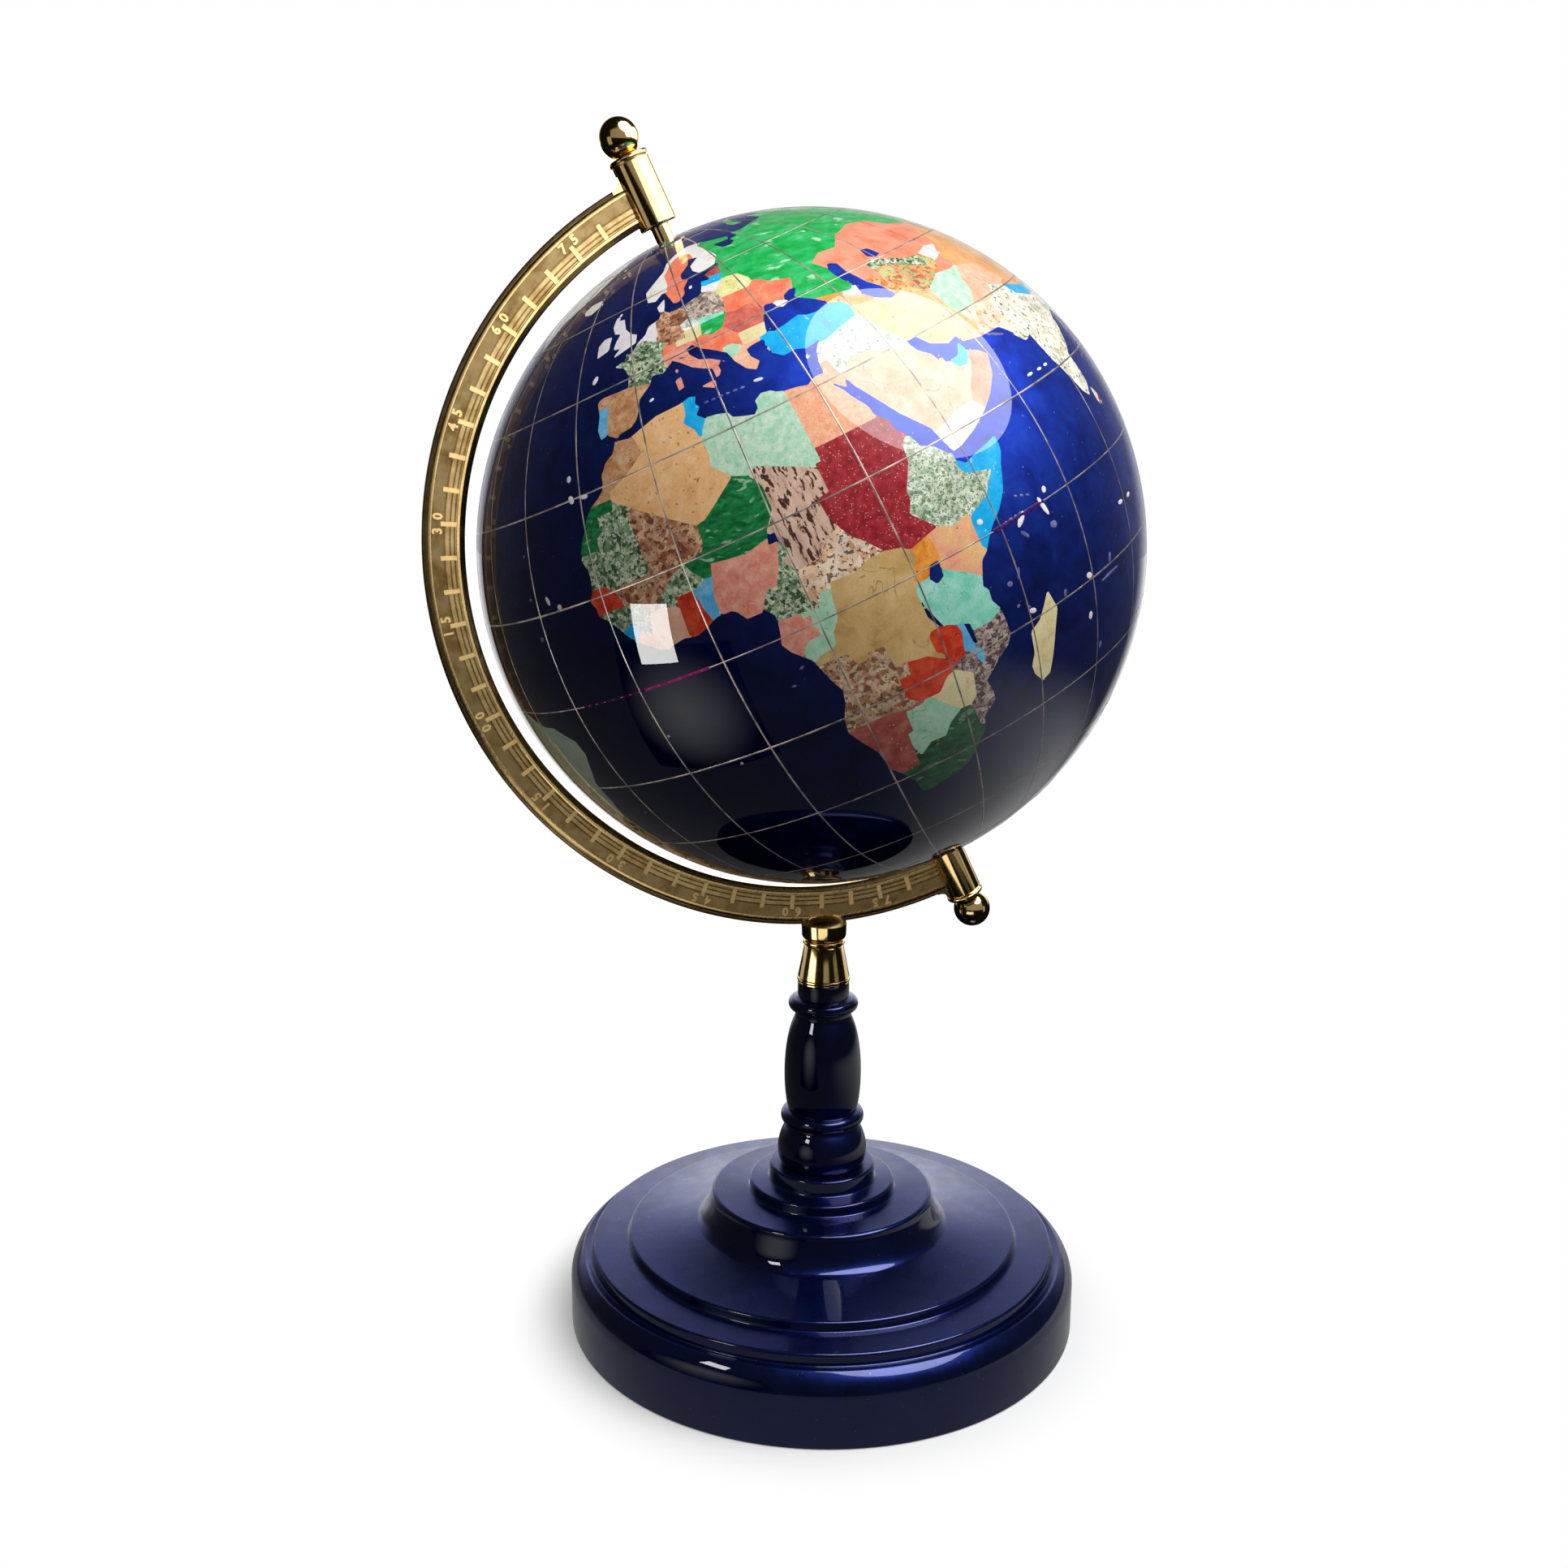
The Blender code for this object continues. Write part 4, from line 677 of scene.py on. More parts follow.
# Each land is a stone and an outline. The first that holds a point wins, and a point in none goes to
# the nearest, so that an outline may run out past its own coast and under the lands before it.
LANDS = """
# Africa
tan_jasper: -6 36, -2.2 35.1, -1.7 34, -1.2 32.4, -3.6 30.9, -5.5 29.9, -8.7 28.7, -8.7 27.7, -13 27.7,
-7 36;
malachite_dark: -8.7 28, -8.7 26, -12 26, -12 23.5, -13 23, -13.1 21.3, -17 21.3, -16 28;
green_grain: -8.7 27.3, -4.8 25, -6.5 25, -5.3 16.3, -5.5 15.5, -9.4 15.4, -11.5 15.6, -12.2 14.8,
-14 16.2, -19 16, -16 25;
sand_jasper: -4.8 25, 3.2 19.8, 4.2 19.2, 5.8 19.5, 12 23.5, 9.4 26.1, 9.9 28, 9.5 30.2, 9 32.1, 7.5 33.8,
8.3 35, 8.6 37.2, -2 36.5, -2.2 35.1, -10 28;
cyan: 5 36, 9.5 30.2, 10.3 31.7, 11.5 33.2, 11 38;
mint_mottle: 9 34, 9 26, 12 23.5, 14.2 22.6, 15.9 23.4, 24 19.5, 24 20, 25 20, 25 34;
desert_peach: 25 22, 25 32, 27 33, 34.2 33, 34.3 31.3, 34.9 29.5, 36.5 24, 37 22;
garnet: 25 22, 37 22, 38.6 18, 37 17.1, 36.4 14.3, 34.1 10.9, 34 9.5, 33 7.9, 35.9 4.6, 34 4.2, 30.9 3.5,
29.6 4.4, 27.4 5, 25.3 7.8, 24.2 8.7, 22.9 11, 22.3 12.7, 22 15.5, 24 15.7, 24 20;
rhyolite: 16 24, 14.2 22.6, 15.2 21.3, 15.9 20.4, 15.5 16.9, 13.5 14.4, 14 13.1, 15.1 12.1, 15.1 10.8,
13.9 9.6, 15.4 7.7, 18.6 8.1, 21.7 10.6, 22.9 11, 27 18;
malachite_dark: 14 25, 15.2 21.3, 15.5 16.9, 13.5 14.4, 13 13.5, 9.6 12.8, 6.8 13.1, 4.1 13.5, 3.6 11.8,
2.4 11.9, 1 13.4, .2 14.9, 3.5 15.4, 4.2 16.8, 4.2 19.2;
brown_mottle: 6 18, 4 15, .2 14.9, -2 14.2, -3.2 13.3, -5.3 11.8, -5.5 10.4, -8 10.2, -9 12.2, -11.4 12.4,
-12.2 14.8, -5 28;
green_grain: -5.5 10.4, -4 22, 2.4 11.9, .9 11, -2.8 11, -2.8 9.7;
red: -12 17, -11.4 12.4, -13.7 12.6, -16.7 12.3, -19 16;
green_grain: -17 13, -9 13, -8 10.2, -8.3 7.6, -9.4 7.5, -10.3 8.5, -11.2 10, -13.2 9, -15 9;
cyan: -9 11, -10.3 8.5, -11.4 6.9, -16 8;
orange: -15 11, -8.3 7.6, -7.4 4.4, -12 6;
peach: -9 12, -2.8 9.7, -3.1 5.1, -8 3;
red: -3 11, 0 11.1, .6 8, 1.2 6.1, 1 4, -4 4;
sky: -1 16, 3.6 11.8, 2.7 9, 2.7 6, 1 4;
salmon: 0 8, 4 14, 13 13.5, 14.2 12.4, 13.2 9.6, 11.7 7, 10.1 7, 8.6 4.8, 7 3;
green_grain: 14.2 12.4, 15.1 12.1, 15.4 7.7, 14.6 5.5, 14.7 4, 16.1 2.2, 16 1.7, 13.2 2.2, 9.8 2.3, 6 4;
peach_grain: 23 11, 24.2 8.7, 27.4 5, 25 5, 22.5 4.1, 18.6 4.4, 18.5 3.6, 16.6 3.5, 16.1 2.2, 7 12;
salmon: 9 3, 13.2 2.2, 13.2 1.3, 14.4 1.3, 13.9 -.2, 14.5 -1, 14.4 -1.9, 12.5 -1.9, 11.6 -2.8, 11.1 -3.9,
8 -5;
mint: 18.5 3.6, 18 2, 17.7 -.5, 16.2 -2.3, 15.9 -3.9, 15.2 -4.3, 13.1 -4.6, 12 -5, 11 -5, 11.1 -3.9, 14 5;
khaki: 21 9, 25 6, 31 4, 30.9 3.5, 31.3 2.2, 29.9 .6, 29.6 -1.4, 29.1 -2.7, 29.3 -4.4, 30.8 -8.3,
28.9 -8.5, 28.4 -9.2, 28.6 -11.8, 29.4 -12.2, 29.8 -13.4, 28.4 -12.5, 27.2 -11.6, 25.3 -11.3, 24 -10.9,
22.2 -11.1, 21.8 -7.3, 19.5 -7, 19 -8, 17.5 -8.1, 16.6 -5.9, 12.9 -5.9, 12 -6, 12 -5.6, 13.1 -4.6;
orange: 34 4.2, 34.5 1.2, 33.9 -1, 29.6 -1.4, 28 3;
patch_peach: 34 5, 35.9 4.6, 38.1 3.6, 41 4.2, 41 -.9, 41.6 -1.7, 41 -5, 39.2 -4.7, 37.7 -3.5, 33.9 -1;
pale_grain: 37 18, 40.5 17.5, 43.5 13.5, 43.3 11.5, 42.8 10.9, 42.9 10, 44 9, 47.8 8, 45 5, 41.9 3.9,
31 3, 33 9;
cyan: 43 12, 42.8 10.9, 44 9, 41.9 3.9, 41 2.8, 41 -5, 55 14;
teal: 31 4, 41 -5, 40.4 -10.5, 38.5 -11.4, 34.6 -11.5, 34 -9.5, 32.9 -9.4, 30.8 -8.3, 28 -4;
red: 31 -8, 32.9 -9.4, 33.3 -10.8, 32.7 -13.6, 33.2 -14, 30.2 -15, 30.4 -15.6, 28.9 -16, 27 -17.9,
25.3 -17.8, 23.4 -17.6, 22 -16.2, 22 -13, 24 -13, 24 -5;
sky: 34 -8, 34.6 -12, 34.6 -14, 35.8 -14.9, 35.3 -17.1, 34.3 -15.8, 34.5 -14.5, 33.2 -14, 29 -12;
pink_grain: 46 -9, 34 -27.5, 32.1 -26.8, 31.9 -25.9, 31.3 -22.4, 32.5 -21.3, 32.8 -19, 33 -17.5,
30.4 -15.6, 26 -7;
cream: 25.3 -17.8, 34 -12, 34 -21, 31.3 -22.4, 29.4 -22.2, 27.7 -20.5;
mint: 25.3 -17.8, 29.4 -22.2, 27 -23.7, 25.7 -25.5, 23 -25.3, 20.8 -26.9, 20 -24.8, 20 -22, 21 -22,
21 -18.3, 23.5 -18.3;
rose: 11.7 -17.3, 14 -17.4, 18.5 -17.4, 21.4 -17.9, 25.3 -17.8, 20 -23, 20 -28.4, 17.5 -28.7, 16.5 -28.6,
14 -28;
malachite_deep: 29 -17, 35 -31, 20 -37, 15 -29;
angola_jasper: 26 -4, 23.4 -17.6, 21.4 -17.9, 9 -18, 12 -6;
cream: 42 -9, 52 -9, 52 -27, 42 -27;
# Europe
howlite: 3 57, 11.5 58.8, 12.5 61, 12 64, 16 67.5, 20.5 69, 26 68.9, 31 69.7, 31 72, 15 72, 3 63;
coral: 11.5 58.8, 12 68, 20.5 69, 24 67.5, 24 65.6, 20 63, 18 55, 12 54;
howlite: 20 69, 29 69.3, 30 66, 31 63, 28 60.4, 24 58.9, 19 60;
pearl: -12 50, 3 50.8, 3 60, -9 60;
sky: -9 37, -7.3 37, -7 40, -6.5 41.8, -10.5 42;
tan_jasper: -10 45, -1.8 43.4, 3.4 42.4, 0 36, -7 36;
green_grain: -1.8 43.4, -6 48, -2 51, 2.5 51.2, 6 49.5, 8 48.8, 7.5 47.5, 7 46, 7.5 43.8, 6 42.5, 3 42;
coral: 6 46, 7.6 47.6, 10.5 47.5, 10.5 46.3;
pearl: 2 51, 6 49.5, 7 50.5, 7 62;
brown_mottle: 5 48, 8 48.8, 7.6 47.6, 13 47.5, 12.5 50.3, 15 51, 14.5 54.5, 8.5 55, 7 54;
pearl: 7 58, 13 58, 9 52;
fawn_grain: 15 51, 18.8 49.6, 22.8 49, 24 50.8, 23.5 54, 19 55.5, 14 55;
rose: 22 58, 24.5 57.8, 28 57.5, 28.4 60, 22 60;
turquoise: 19 56.4, 26.4 55.8, 28 57.5, 20 59;
pearl: 16 57, 26.4 55.8, 24 54, 22 54;
pearl: 32.6 46.1, 33.6 46.2, 35.3 45.5, 37 45, 32 44;
yellow: 23.5 54, 24 51.8, 31 51.5, 32.5 53.5, 31 55.5, 28 56, 26.5 55.8;
coral: 24 51.8, 22.8 49, 25 48, 28 48.2, 30 46, 33 44, 36 44, 38.5 47.3, 40 49.2, 36 50.4, 33.5 52.2,
31 51.5;
white_grain: 12.5 50.3, 13.5 48.7, 16.6 48.6, 17.6 50, 15 51;
teal: 18 51, 16.6 48.6, 22.8 48.6, 22.8 49;
cream: 10.5 47.5, 10 46.5, 16.3 46.5, 17 48.7, 13.5 48.7;
malachite: 16.3 46.5, 17 48.7, 22.8 48.3, 21 46.2, 18.5 45.7;
brick: 22.8 48.3, 25 48, 28 48.2, 30 45.5, 28.5 43.6, 23 43.8, 21 46.2;
cream: 23 43.7, 29 43.8, 28.8 41.7, 26 41.3, 23.2 41.3;
mint: 19 42.6, 19.2 40, 21.5 40.6, 22.6 41.6, 21 42.6;
coral: 21 47, 23 43.8, 22.5 41.5, 20 41.7, 16 43, 13.5 45.8, 16.3 46.5;
salmon: 7 46, 10.5 46.5, 13.5 46.3, 13.5 45, 19 40, 14 33, 6 40;
peach: 20 42, 22.8 41.3, 26 41.6, 26.5 40.8, 27 34, 19 36;
turquoise: 26 42, 35 42, 41.5 41.6, 43.7 40.8, 44.6 39.5, 44 37.5, 41 37, 36.2 36, 30 35.8, 26 36;
malachite: 28 57.5, 26.5 55.8, 32.5 53.5, 33.5 52.2, 36 46, 39 43.5, 48 41.8, 49 46.5, 47 50, 51 51.5,
56 51, 61 53.5, 70 55, 77 53.5, 80 50.8, 87 49.2, 98 50.5, 107 50, 116 49.8, 120 53.3, 127 50, 131 47.8,
131 42.5, 145 42, 192 60, 192 72, 99 82, 40 78, 31 70.5, 29 69.3;
# Asia
carnelian: 47 50, 71 60, 87 49.2, 82 45.5, 80 42.3, 75 43, 70 42.2, 66.5 42.3, 61 44.3, 58.5 45.5, 56 45,
56 41.5, 53 42.5, 50 44.5;
green_grain: 56 46, 61 46, 66.5 42.6, 69.5 41.4, 67.5 39.4, 64 41, 60 43, 56 43.4;
orange_grain: 70 42.2, 71.5 40, 68 37.5, 66.5 37.4, 61 35.5, 57 38, 53 37.3, 53 45;
pearl: 68 42, 76 45, 79 42.6, 74 40, 71 39.6;
carnelian: 75 43, 80 42.3, 74 39.7, 74.5 37.3, 71.5 37, 68 37.5;
pearl: 45 43, 48.9 42, 49.6 40, 48 40.2, 45.4 41.6;
cyan: 52.2 24.6, 54.6 25.2, 57.4 26.6, 57 24.6, 55 22.6, 53 22.7;
turquoise: 80.5 30.4, 88 28.6, 92.5 28.8, 92.5 26.6, 88 26.2, 82 27.8;
orange: 42 41, 39 45, 50.5 40.3, 48.8 38.4, 46 38.9, 44.6 39.6, 43.7 40.8;
sand_jasper: 44.6 39.5, 46 38.9, 48.8 38.4, 52 36.8, 57 38, 61 36, 61 31.5, 63 27.2, 61.5 25, 53 26,
48.3 30, 46 33, 45.5 36, 44 37.5;
mint_mottle: 61 36, 66.5 37.4, 71.5 37, 74.5 37.3, 71 34.5, 69.5 32, 66.5 30, 61 29.5;
peach: 66.5 30, 71 34.5, 74.5 37, 80 36, 84 31, 79 30.4, 75.5 32.5, 74 29.6, 71 29.2;
pale_peach_grain: 53 28, 75.5 32.5, 73 29, 70 27.5, 71 24.5, 68 23;
amber: 74.5 37.3, 73 40, 86 50, 91 46, 97 42.8, 105 41.6, 112 43.5, 119.5 47, 116 49.8, 120 54, 131 48,
131 42.5, 124 40, 120 20, 108 17.5, 104 22.5, 98 24, 97 28.2, 89 27.7, 81 30, 78.5 32.5, 77 35.5;
tan_jasper: 86 50, 107 58, 120 47, 103 39, 91 46;
india: 66 26, 77 36, 97 28.2, 94 24, 91.5 23.5, 89 21, 80 5.5, 72 8;
red: 80 9, 83 8, 80 5;
mint: 92 22, 94 24, 98 24, 108 21.5, 105 19, 101 19, 98 16, 95 14;
peach: 98 16, 99 21, 105 15, 102.5 12, 99 4, 105 0, 95 6;
malachite_dark: 105 19, 108 18, 111 13, 105 7, 102 13, 105 15;
peach: 34.9 29.5, 37 31.5, 39.5 32, 42 31, 46.5 29, 48.5 28.5, 56 22.8, 52 19, 46 17, 43.2 16.5, 38 19,
34 28;
pearl: 41 15, 46.4 18, 49 17.2, 52 16.6, 50 12, 43 12;
carnelian: 52 16.6, 52.5 20, 56 22.8, 56 27, 62 23, 57 15;
white_grain: 31 32, 33 36, 42.3 37.2, 44 37.5, 46 36, 48.3 30, 46.5 29, 34.9 29.5, 34 32.5;
pearl: 125 36, 125 43, 131 43, 131 34;
coral: 129 30, 133 42, 148 46, 142 34;
yellow: 94 7, 108 8, 128 20, 125 -9, 105 -9;
malachite: 130 1, 141 0, 141 -9, 130 -8;
salmon: 141 0, 141 -9, 152 -12, 152 -4;
# Australia, New Zealand and Antarctica
sand_jasper: 110 -9, 129 -9, 129 -37, 110 -37;
coral: 129 -9, 138 -9, 138 -26, 129 -26;
khaki: 129 -26, 141 -26, 141 -40, 129 -38;
malachite_dark: 138 -9, 138 -26, 141 -29, 155 -28, 155 -9;
rose: 141 -29, 155 -28, 152 -39, 141 -40;
mint: 145 -32, 150 -45, 140 -45;
malachite: 165 -33, 180 -33, 180 -48, 165 -48;
howlite: -180 -60, 180 -60, 180 -91, -180 -91;
# The Americas
howlite: -75 59, -10 59, -10 85, -75 85, -64 79;
pearl: -12 63, -12 67, -25 67;
malachite: -141 72, -141 60, -130 56, -122.5 49, -95 49, -83 46, -79 43, -71 45, -67 47.5, -52 45, -62 84,
-125 80;
sky: -170 50, -170 72, -141 72, -130 56, -135 50;
coral: -130 49, -104 49, -104 41, -109 31, -117 32.5, -126 35;
sand_jasper: -104 49, -95 49, -83 46, -88 30, -97 25, -104 30, -109 31;
rose: -83 46, -67 47.5, -66 43, -79 24, -84 28, -88 30;
teal: -117 32.5, -106 31, -86 22, -88 17.5, -92 15, -97 14, -116 26;
peach: -88 17.5, -92 15, -84 9, -77 7.5, -79 10, -82 17;
red: -86 24, -73 24, -67 17, -79 17;
orange: -79 9, -72 13, -71 10, -70 6, -67 2, -69.5 0, -70 -4, -75 0, -79 1;
malachite_dark: -72 13, -70 6, -67 2, -61 4, -60 8, -57 11;
salmon: -60 8, -61 4, -58 1.5, -51.5 4, -52 8;
sage: -70 3, -61 4, -51.5 4, -30 0, -33 -20, -50 -34, -57.5 -30, -55 -25, -58 -20, -60 -14, -65 -11,
-73 -9, -70 -4;
carnelian: -79 1, -75 0, -70 -4, -73 -9, -70 -11, -69 -18, -72 -19, -84 -5;
yellow: -70 -11, -65 -11, -60 -14, -58 -20, -62 -22, -68 -23, -69 -18;
rhyolite: -62 -22, -58 -20, -55 -25, -57.5 -28;
sky: -58 -30, -53 -33, -53 -36, -59 -34;
green_grain: -68 -23, -62 -22, -57.5 -28, -58 -34, -55 -37, -62 -55, -69 -52, -71 -38;
red: -72 -17, -64 -20, -71 -38, -72 -50, -69 -52, -65 -56, -80 -54
"""
SEA, PIVOT_HOLE = -1, -2                         # regions that are not a land


def rows(text):
    """Rows of numbers from a text, with commas between them."""
    return [[float(value) for value in row.split()] for row in text.split(",")]


def outlines(text):
    """The name of each outline in a text, and its longitude and latitude pairs."""
    plain = " ".join(line for line in text.splitlines() if not line.startswith("#"))
    parts = [entry.split(":") for entry in plain.split(";")]
    return [(name.strip(), np.array(rows(pairs))) for name, pairs in parts]


def inside(points, ring):
    """Which points lie inside a closed outline."""
    result = np.zeros(len(points), bool)
    x = points[:, 0]
    y = points[:, 1]
    start = ring[-1]
    for end in ring:
        crosses = (start[1] > y) != (end[1] > y)
        if crosses.any():
            slope = (end[0] - start[0]) / (end[1] - start[1] + 1e-12)
            result ^= crosses & (x < start[0] + (y - start[1]) * slope)
        start = end
    return result


def distance(points, ring):
    """Distance of points from a closed outline, in degrees of latitude."""
    shrink = np.ones((len(points), 2))
    shrink[:, 0] = np.cos(np.radians(points[:, 1]))
    best = np.full(len(points), 1e9)
    start = ring[-1]
    for end in ring:
        first = (start - points) * shrink
        edge = (end - points) * shrink - first
        along = np.clip(-(first * edge).sum(1) / ((edge * edge).sum(1) + 1e-12), 0.0, 1.0)
        nearest = first + along[:, None] * edge
        best = np.minimum(best, np.hypot(nearest[:, 0], nearest[:, 1]))
        start = end
    return best


class WorldMap:
    """Says which land, or the sea, or a pivot hole, each place on the sphere belongs to."""

    def __init__(self):
        self.coasts = [ring for _, ring in outlines(COASTS)]
        self.seas = [ring for _, ring in outlines(SEAS)]
        self.stones = [stone for stone, _ in outlines(LANDS)]
        self.lands = [ring for _, ring in outlines(LANDS)]

    def dry(self, places):
        """Which places are on land."""
        land = np.zeros(len(places), bool)
        for ring in self.coasts:
            for turn in (0.0, 360.0):
                moved = places + (turn, 0.0)
                near = ((moved >= ring.min(0)) & (moved <= ring.max(0))).all(1)
                chosen = np.flatnonzero(near)
                land[chosen] |= inside(moved[chosen], ring)
        for ring in self.seas:
            land &= ~inside(places, ring)
        return land

    def owners(self, places):
        """Which land holds each place, or is nearest to it."""
        found = np.full(len(places), SEA)
        for index, ring in enumerate(self.lands):
            for turn in (0.0, 360.0):
                free = np.flatnonzero(found == SEA)
                found[free[inside(places[free] + (turn, 0.0), ring)]] = index
        free = np.flatnonzero(found == SEA)
        best = np.full(len(free), 1e9)
        for index, ring in enumerate(self.lands):
            gap = distance(places[free], ring)
            found[free[gap < best]] = index
            best = np.minimum(best, gap)
        return found

    def regions(self, points):
        """The region of points on the unit sphere, in the globe's own frame."""
        latitude = np.degrees(np.arcsin(np.clip(points[:, 2], -1.0, 1.0)))
        longitude = np.degrees(np.arctan2(points[:, 1], points[:, 0]))
        places = np.stack([longitude, latitude], 1)
        result = np.full(len(points), SEA)
        land = np.flatnonzero(self.dry(places))
        result[land] = self.owners(places[land])
        result[np.hypot(points[:, 0], points[:, 1]) < BORE_RADIUS / SPHERE_RADIUS] = PIVOT_HOLE
        return result


# ---------------------------------------------------------------- the sphere's mesh

def edge_table(faces, count):
    """Each edge once as a pair of points, and the three edges of each triangle."""
    pairs = np.sort(np.stack([faces, np.roll(faces, -1, 1)], 2), 2)
    keys = pairs[..., 0] * count + pairs[..., 1]
    unique, index = np.unique(keys, return_inverse=True)
    return np.stack([unique // count, unique % count], 1), index.reshape(faces.shape)


def on_sphere(points):
    """Points pushed out to the unit sphere."""
    return points / np.linalg.norm(points, axis=1, keepdims=True)


def refine(points, faces, marked):
    """Split marked triangles in four, and their neighbours so that no gap is left."""
    edges, face_edges = edge_table(faces, len(points))
    cut = np.zeros(len(edges), bool)
    while True:
        cut[face_edges[marked]] = True
        wider = cut[face_edges].sum(1) > 1
        if (wider == marked).all():
            break
        marked = wider
    middle = np.full(len(edges), -1)
    middle[cut] = len(points) + np.arange(cut.sum())
    points = np.concatenate([points, on_sphere(points[edges[cut]].sum(1))])
    a, b, c = faces[marked].T
    ab, bc, ca = middle[face_edges[marked]].T
    quarters = [(a, ab, ca), (ab, b, bc), (ca, bc, c), (ab, bc, ca)]
    single = cut[face_edges].sum(1) == 1
    turn = np.argmax(cut[face_edges[single]], 1)
    order = (turn[:, None] + np.arange(3)) % 3
    a, b, c = np.take_along_axis(faces[single], order, 1).T
    ab = middle[np.take_along_axis(face_edges[single], order, 1)[:, 0]]
    halves = [(a, ab, c), (ab, b, c)]
    whole = faces[~(marked | single)]
    return points, np.concatenate([whole] + [np.stack(part, 1) for part in quarters + halves])


def mixed(points, faces, world):
    """Triangles whose corners or edge middles lie in different regions."""
    edges, face_edges = edge_table(faces, len(points))
    corner = world.regions(points)
    middle = world.regions(on_sphere(points[edges].sum(1)))
    seen = np.concatenate([corner[faces], middle[face_edges]], 1)
    return (seen != seen[:, :1]).any(1)


def crossing(points, edges, labels, world):
    """Where a border crosses each edge, found by halving."""
    low = points[edges[:, 0]].copy()
    high = points[edges[:, 1]].copy()
    for _ in range(6):
        middle = on_sphere(low + high)
        same = world.regions(middle) == labels[edges[:, 0]]
        low[same] = middle[same]
        high[~same] = middle[~same]
    place = on_sphere(low + high)
    near, far = points[edges[:, 0]], points[edges[:, 1]]
    along = ((place - near) * (far - near)).sum(1) / ((far - near) ** 2).sum(1)
    along = np.clip(along, 0.08, 0.92)[:, None]
    return on_sphere(near + along * (far - near))


def cut_at_borders(points, faces, world):
    """Split every triangle that a border crosses. Returns points, triangles and their regions."""
    labels = world.regions(points)
    edges, face_edges = edge_table(faces, len(points))
    split = labels[edges[:, 0]] != labels[edges[:, 1]]
    new = np.full(len(edges), -1)
    new[split] = len(points) + np.arange(split.sum())
    points = np.concatenate([points, crossing(points, edges[split], labels, world)])
    corner = labels[faces]
    changes = split[face_edges].sum(1)
    whole = changes == 0
    parts = [(faces[whole], corner[whole][:, 0])]
    two = changes == 2
    turn = np.argmin(split[face_edges[two]], 1)          # the edge that no border crosses
    order = (turn[:, None] + 2 + np.arange(3)) % 3       # so that the odd corner comes first
    odd, second, third = np.take_along_axis(faces[two], order, 1).T
    near, _, far = new[np.take_along_axis(face_edges[two], order, 1)].T
    parts.append((np.stack([odd, near, far], 1), labels[odd]))
    parts.append((np.stack([near, second, third], 1), labels[second]))
    parts.append((np.stack([near, third, far], 1), labels[second]))
    three = changes == 3
    centre = len(points) + np.arange(three.sum())
    points = np.concatenate([points, on_sphere(points[faces[three]].sum(1))])
    for side in range(3):
        here = faces[three][:, side]
        after = new[face_edges[three][:, side]]
        before = new[face_edges[three][:, side - 1]]
        parts.append((np.stack([here, after, centre], 1), labels[here]))
        parts.append((np.stack([here, centre, before], 1), labels[here]))
    return points, *(np.concatenate(part) for part in zip(*parts))


def inlay_triangles(world):
    """The sphere's triangles, fine along every border."""
    work = bmesh.new()
    bmesh.ops.create_icosphere(work, subdivisions=6, radius=1.0)
    points = on_sphere(np.array([vertex.co[:] for vertex in work.verts]))
    faces = np.array([[vertex.index for vertex in face.verts] for face in work.faces])
    work.free()
    for _ in range(2):
        points, faces = refine(points, faces, mixed(points, faces, world))
    return cut_at_borders(points, faces, world)


def pivot_well(rim_edges, points, sign):
    """The wall and floor of the blind hole at one pole: new points and triangles."""
    first = len(points)
    rim = np.unique(rim_edges)
    below = dict(zip(rim.tolist(), range(first, first + len(rim))))
    depth = sign * HOLE_FLOOR / SPHERE_RADIUS
    floor = points[rim].copy()
    floor[:, 2] = depth
    centre = first + len(rim)
    triangles = []
    for start, end in rim_edges.tolist():
        triangles += [(end, start, below[start]), (end, below[start], below[end])]
        triangles.append((below[end], below[start], centre))
    return np.concatenate([floor, [[0.0, 0.0, depth]]]), np.array(triangles)


def open_edges(faces):
    """Directed edges that only one triangle has."""
    directed = np.concatenate([faces[:, [0, 1]], faces[:, [1, 2]], faces[:, [2, 0]]])
    keys = {tuple(edge) for edge in directed.tolist()}
    return np.array([edge for edge in keys if (edge[1], edge[0]) not in keys])


def sphere_mesh(world):
    """One closed mesh: points, triangles, each triangle's region and how many are not a hole's wall."""
    points, faces, labels = inlay_triangles(world)
    keep = labels != PIVOT_HOLE
    faces, labels = faces[keep], labels[keep]
    edges = open_edges(faces)
    surface = len(faces)
    for sign in (1.0, -1.0):
        rim = edges[points[edges[:, 0], 2] * sign > 0.0]
        added, triangles = pivot_well(rim, points, sign)
        points = np.concatenate([points, added])
        faces = np.concatenate([faces, triangles])
        labels = np.concatenate([labels, np.full(len(triangles), SEA)])
    used, index = np.unique(faces, return_inverse=True)
    return points[used], index.reshape(faces.shape), labels, surface


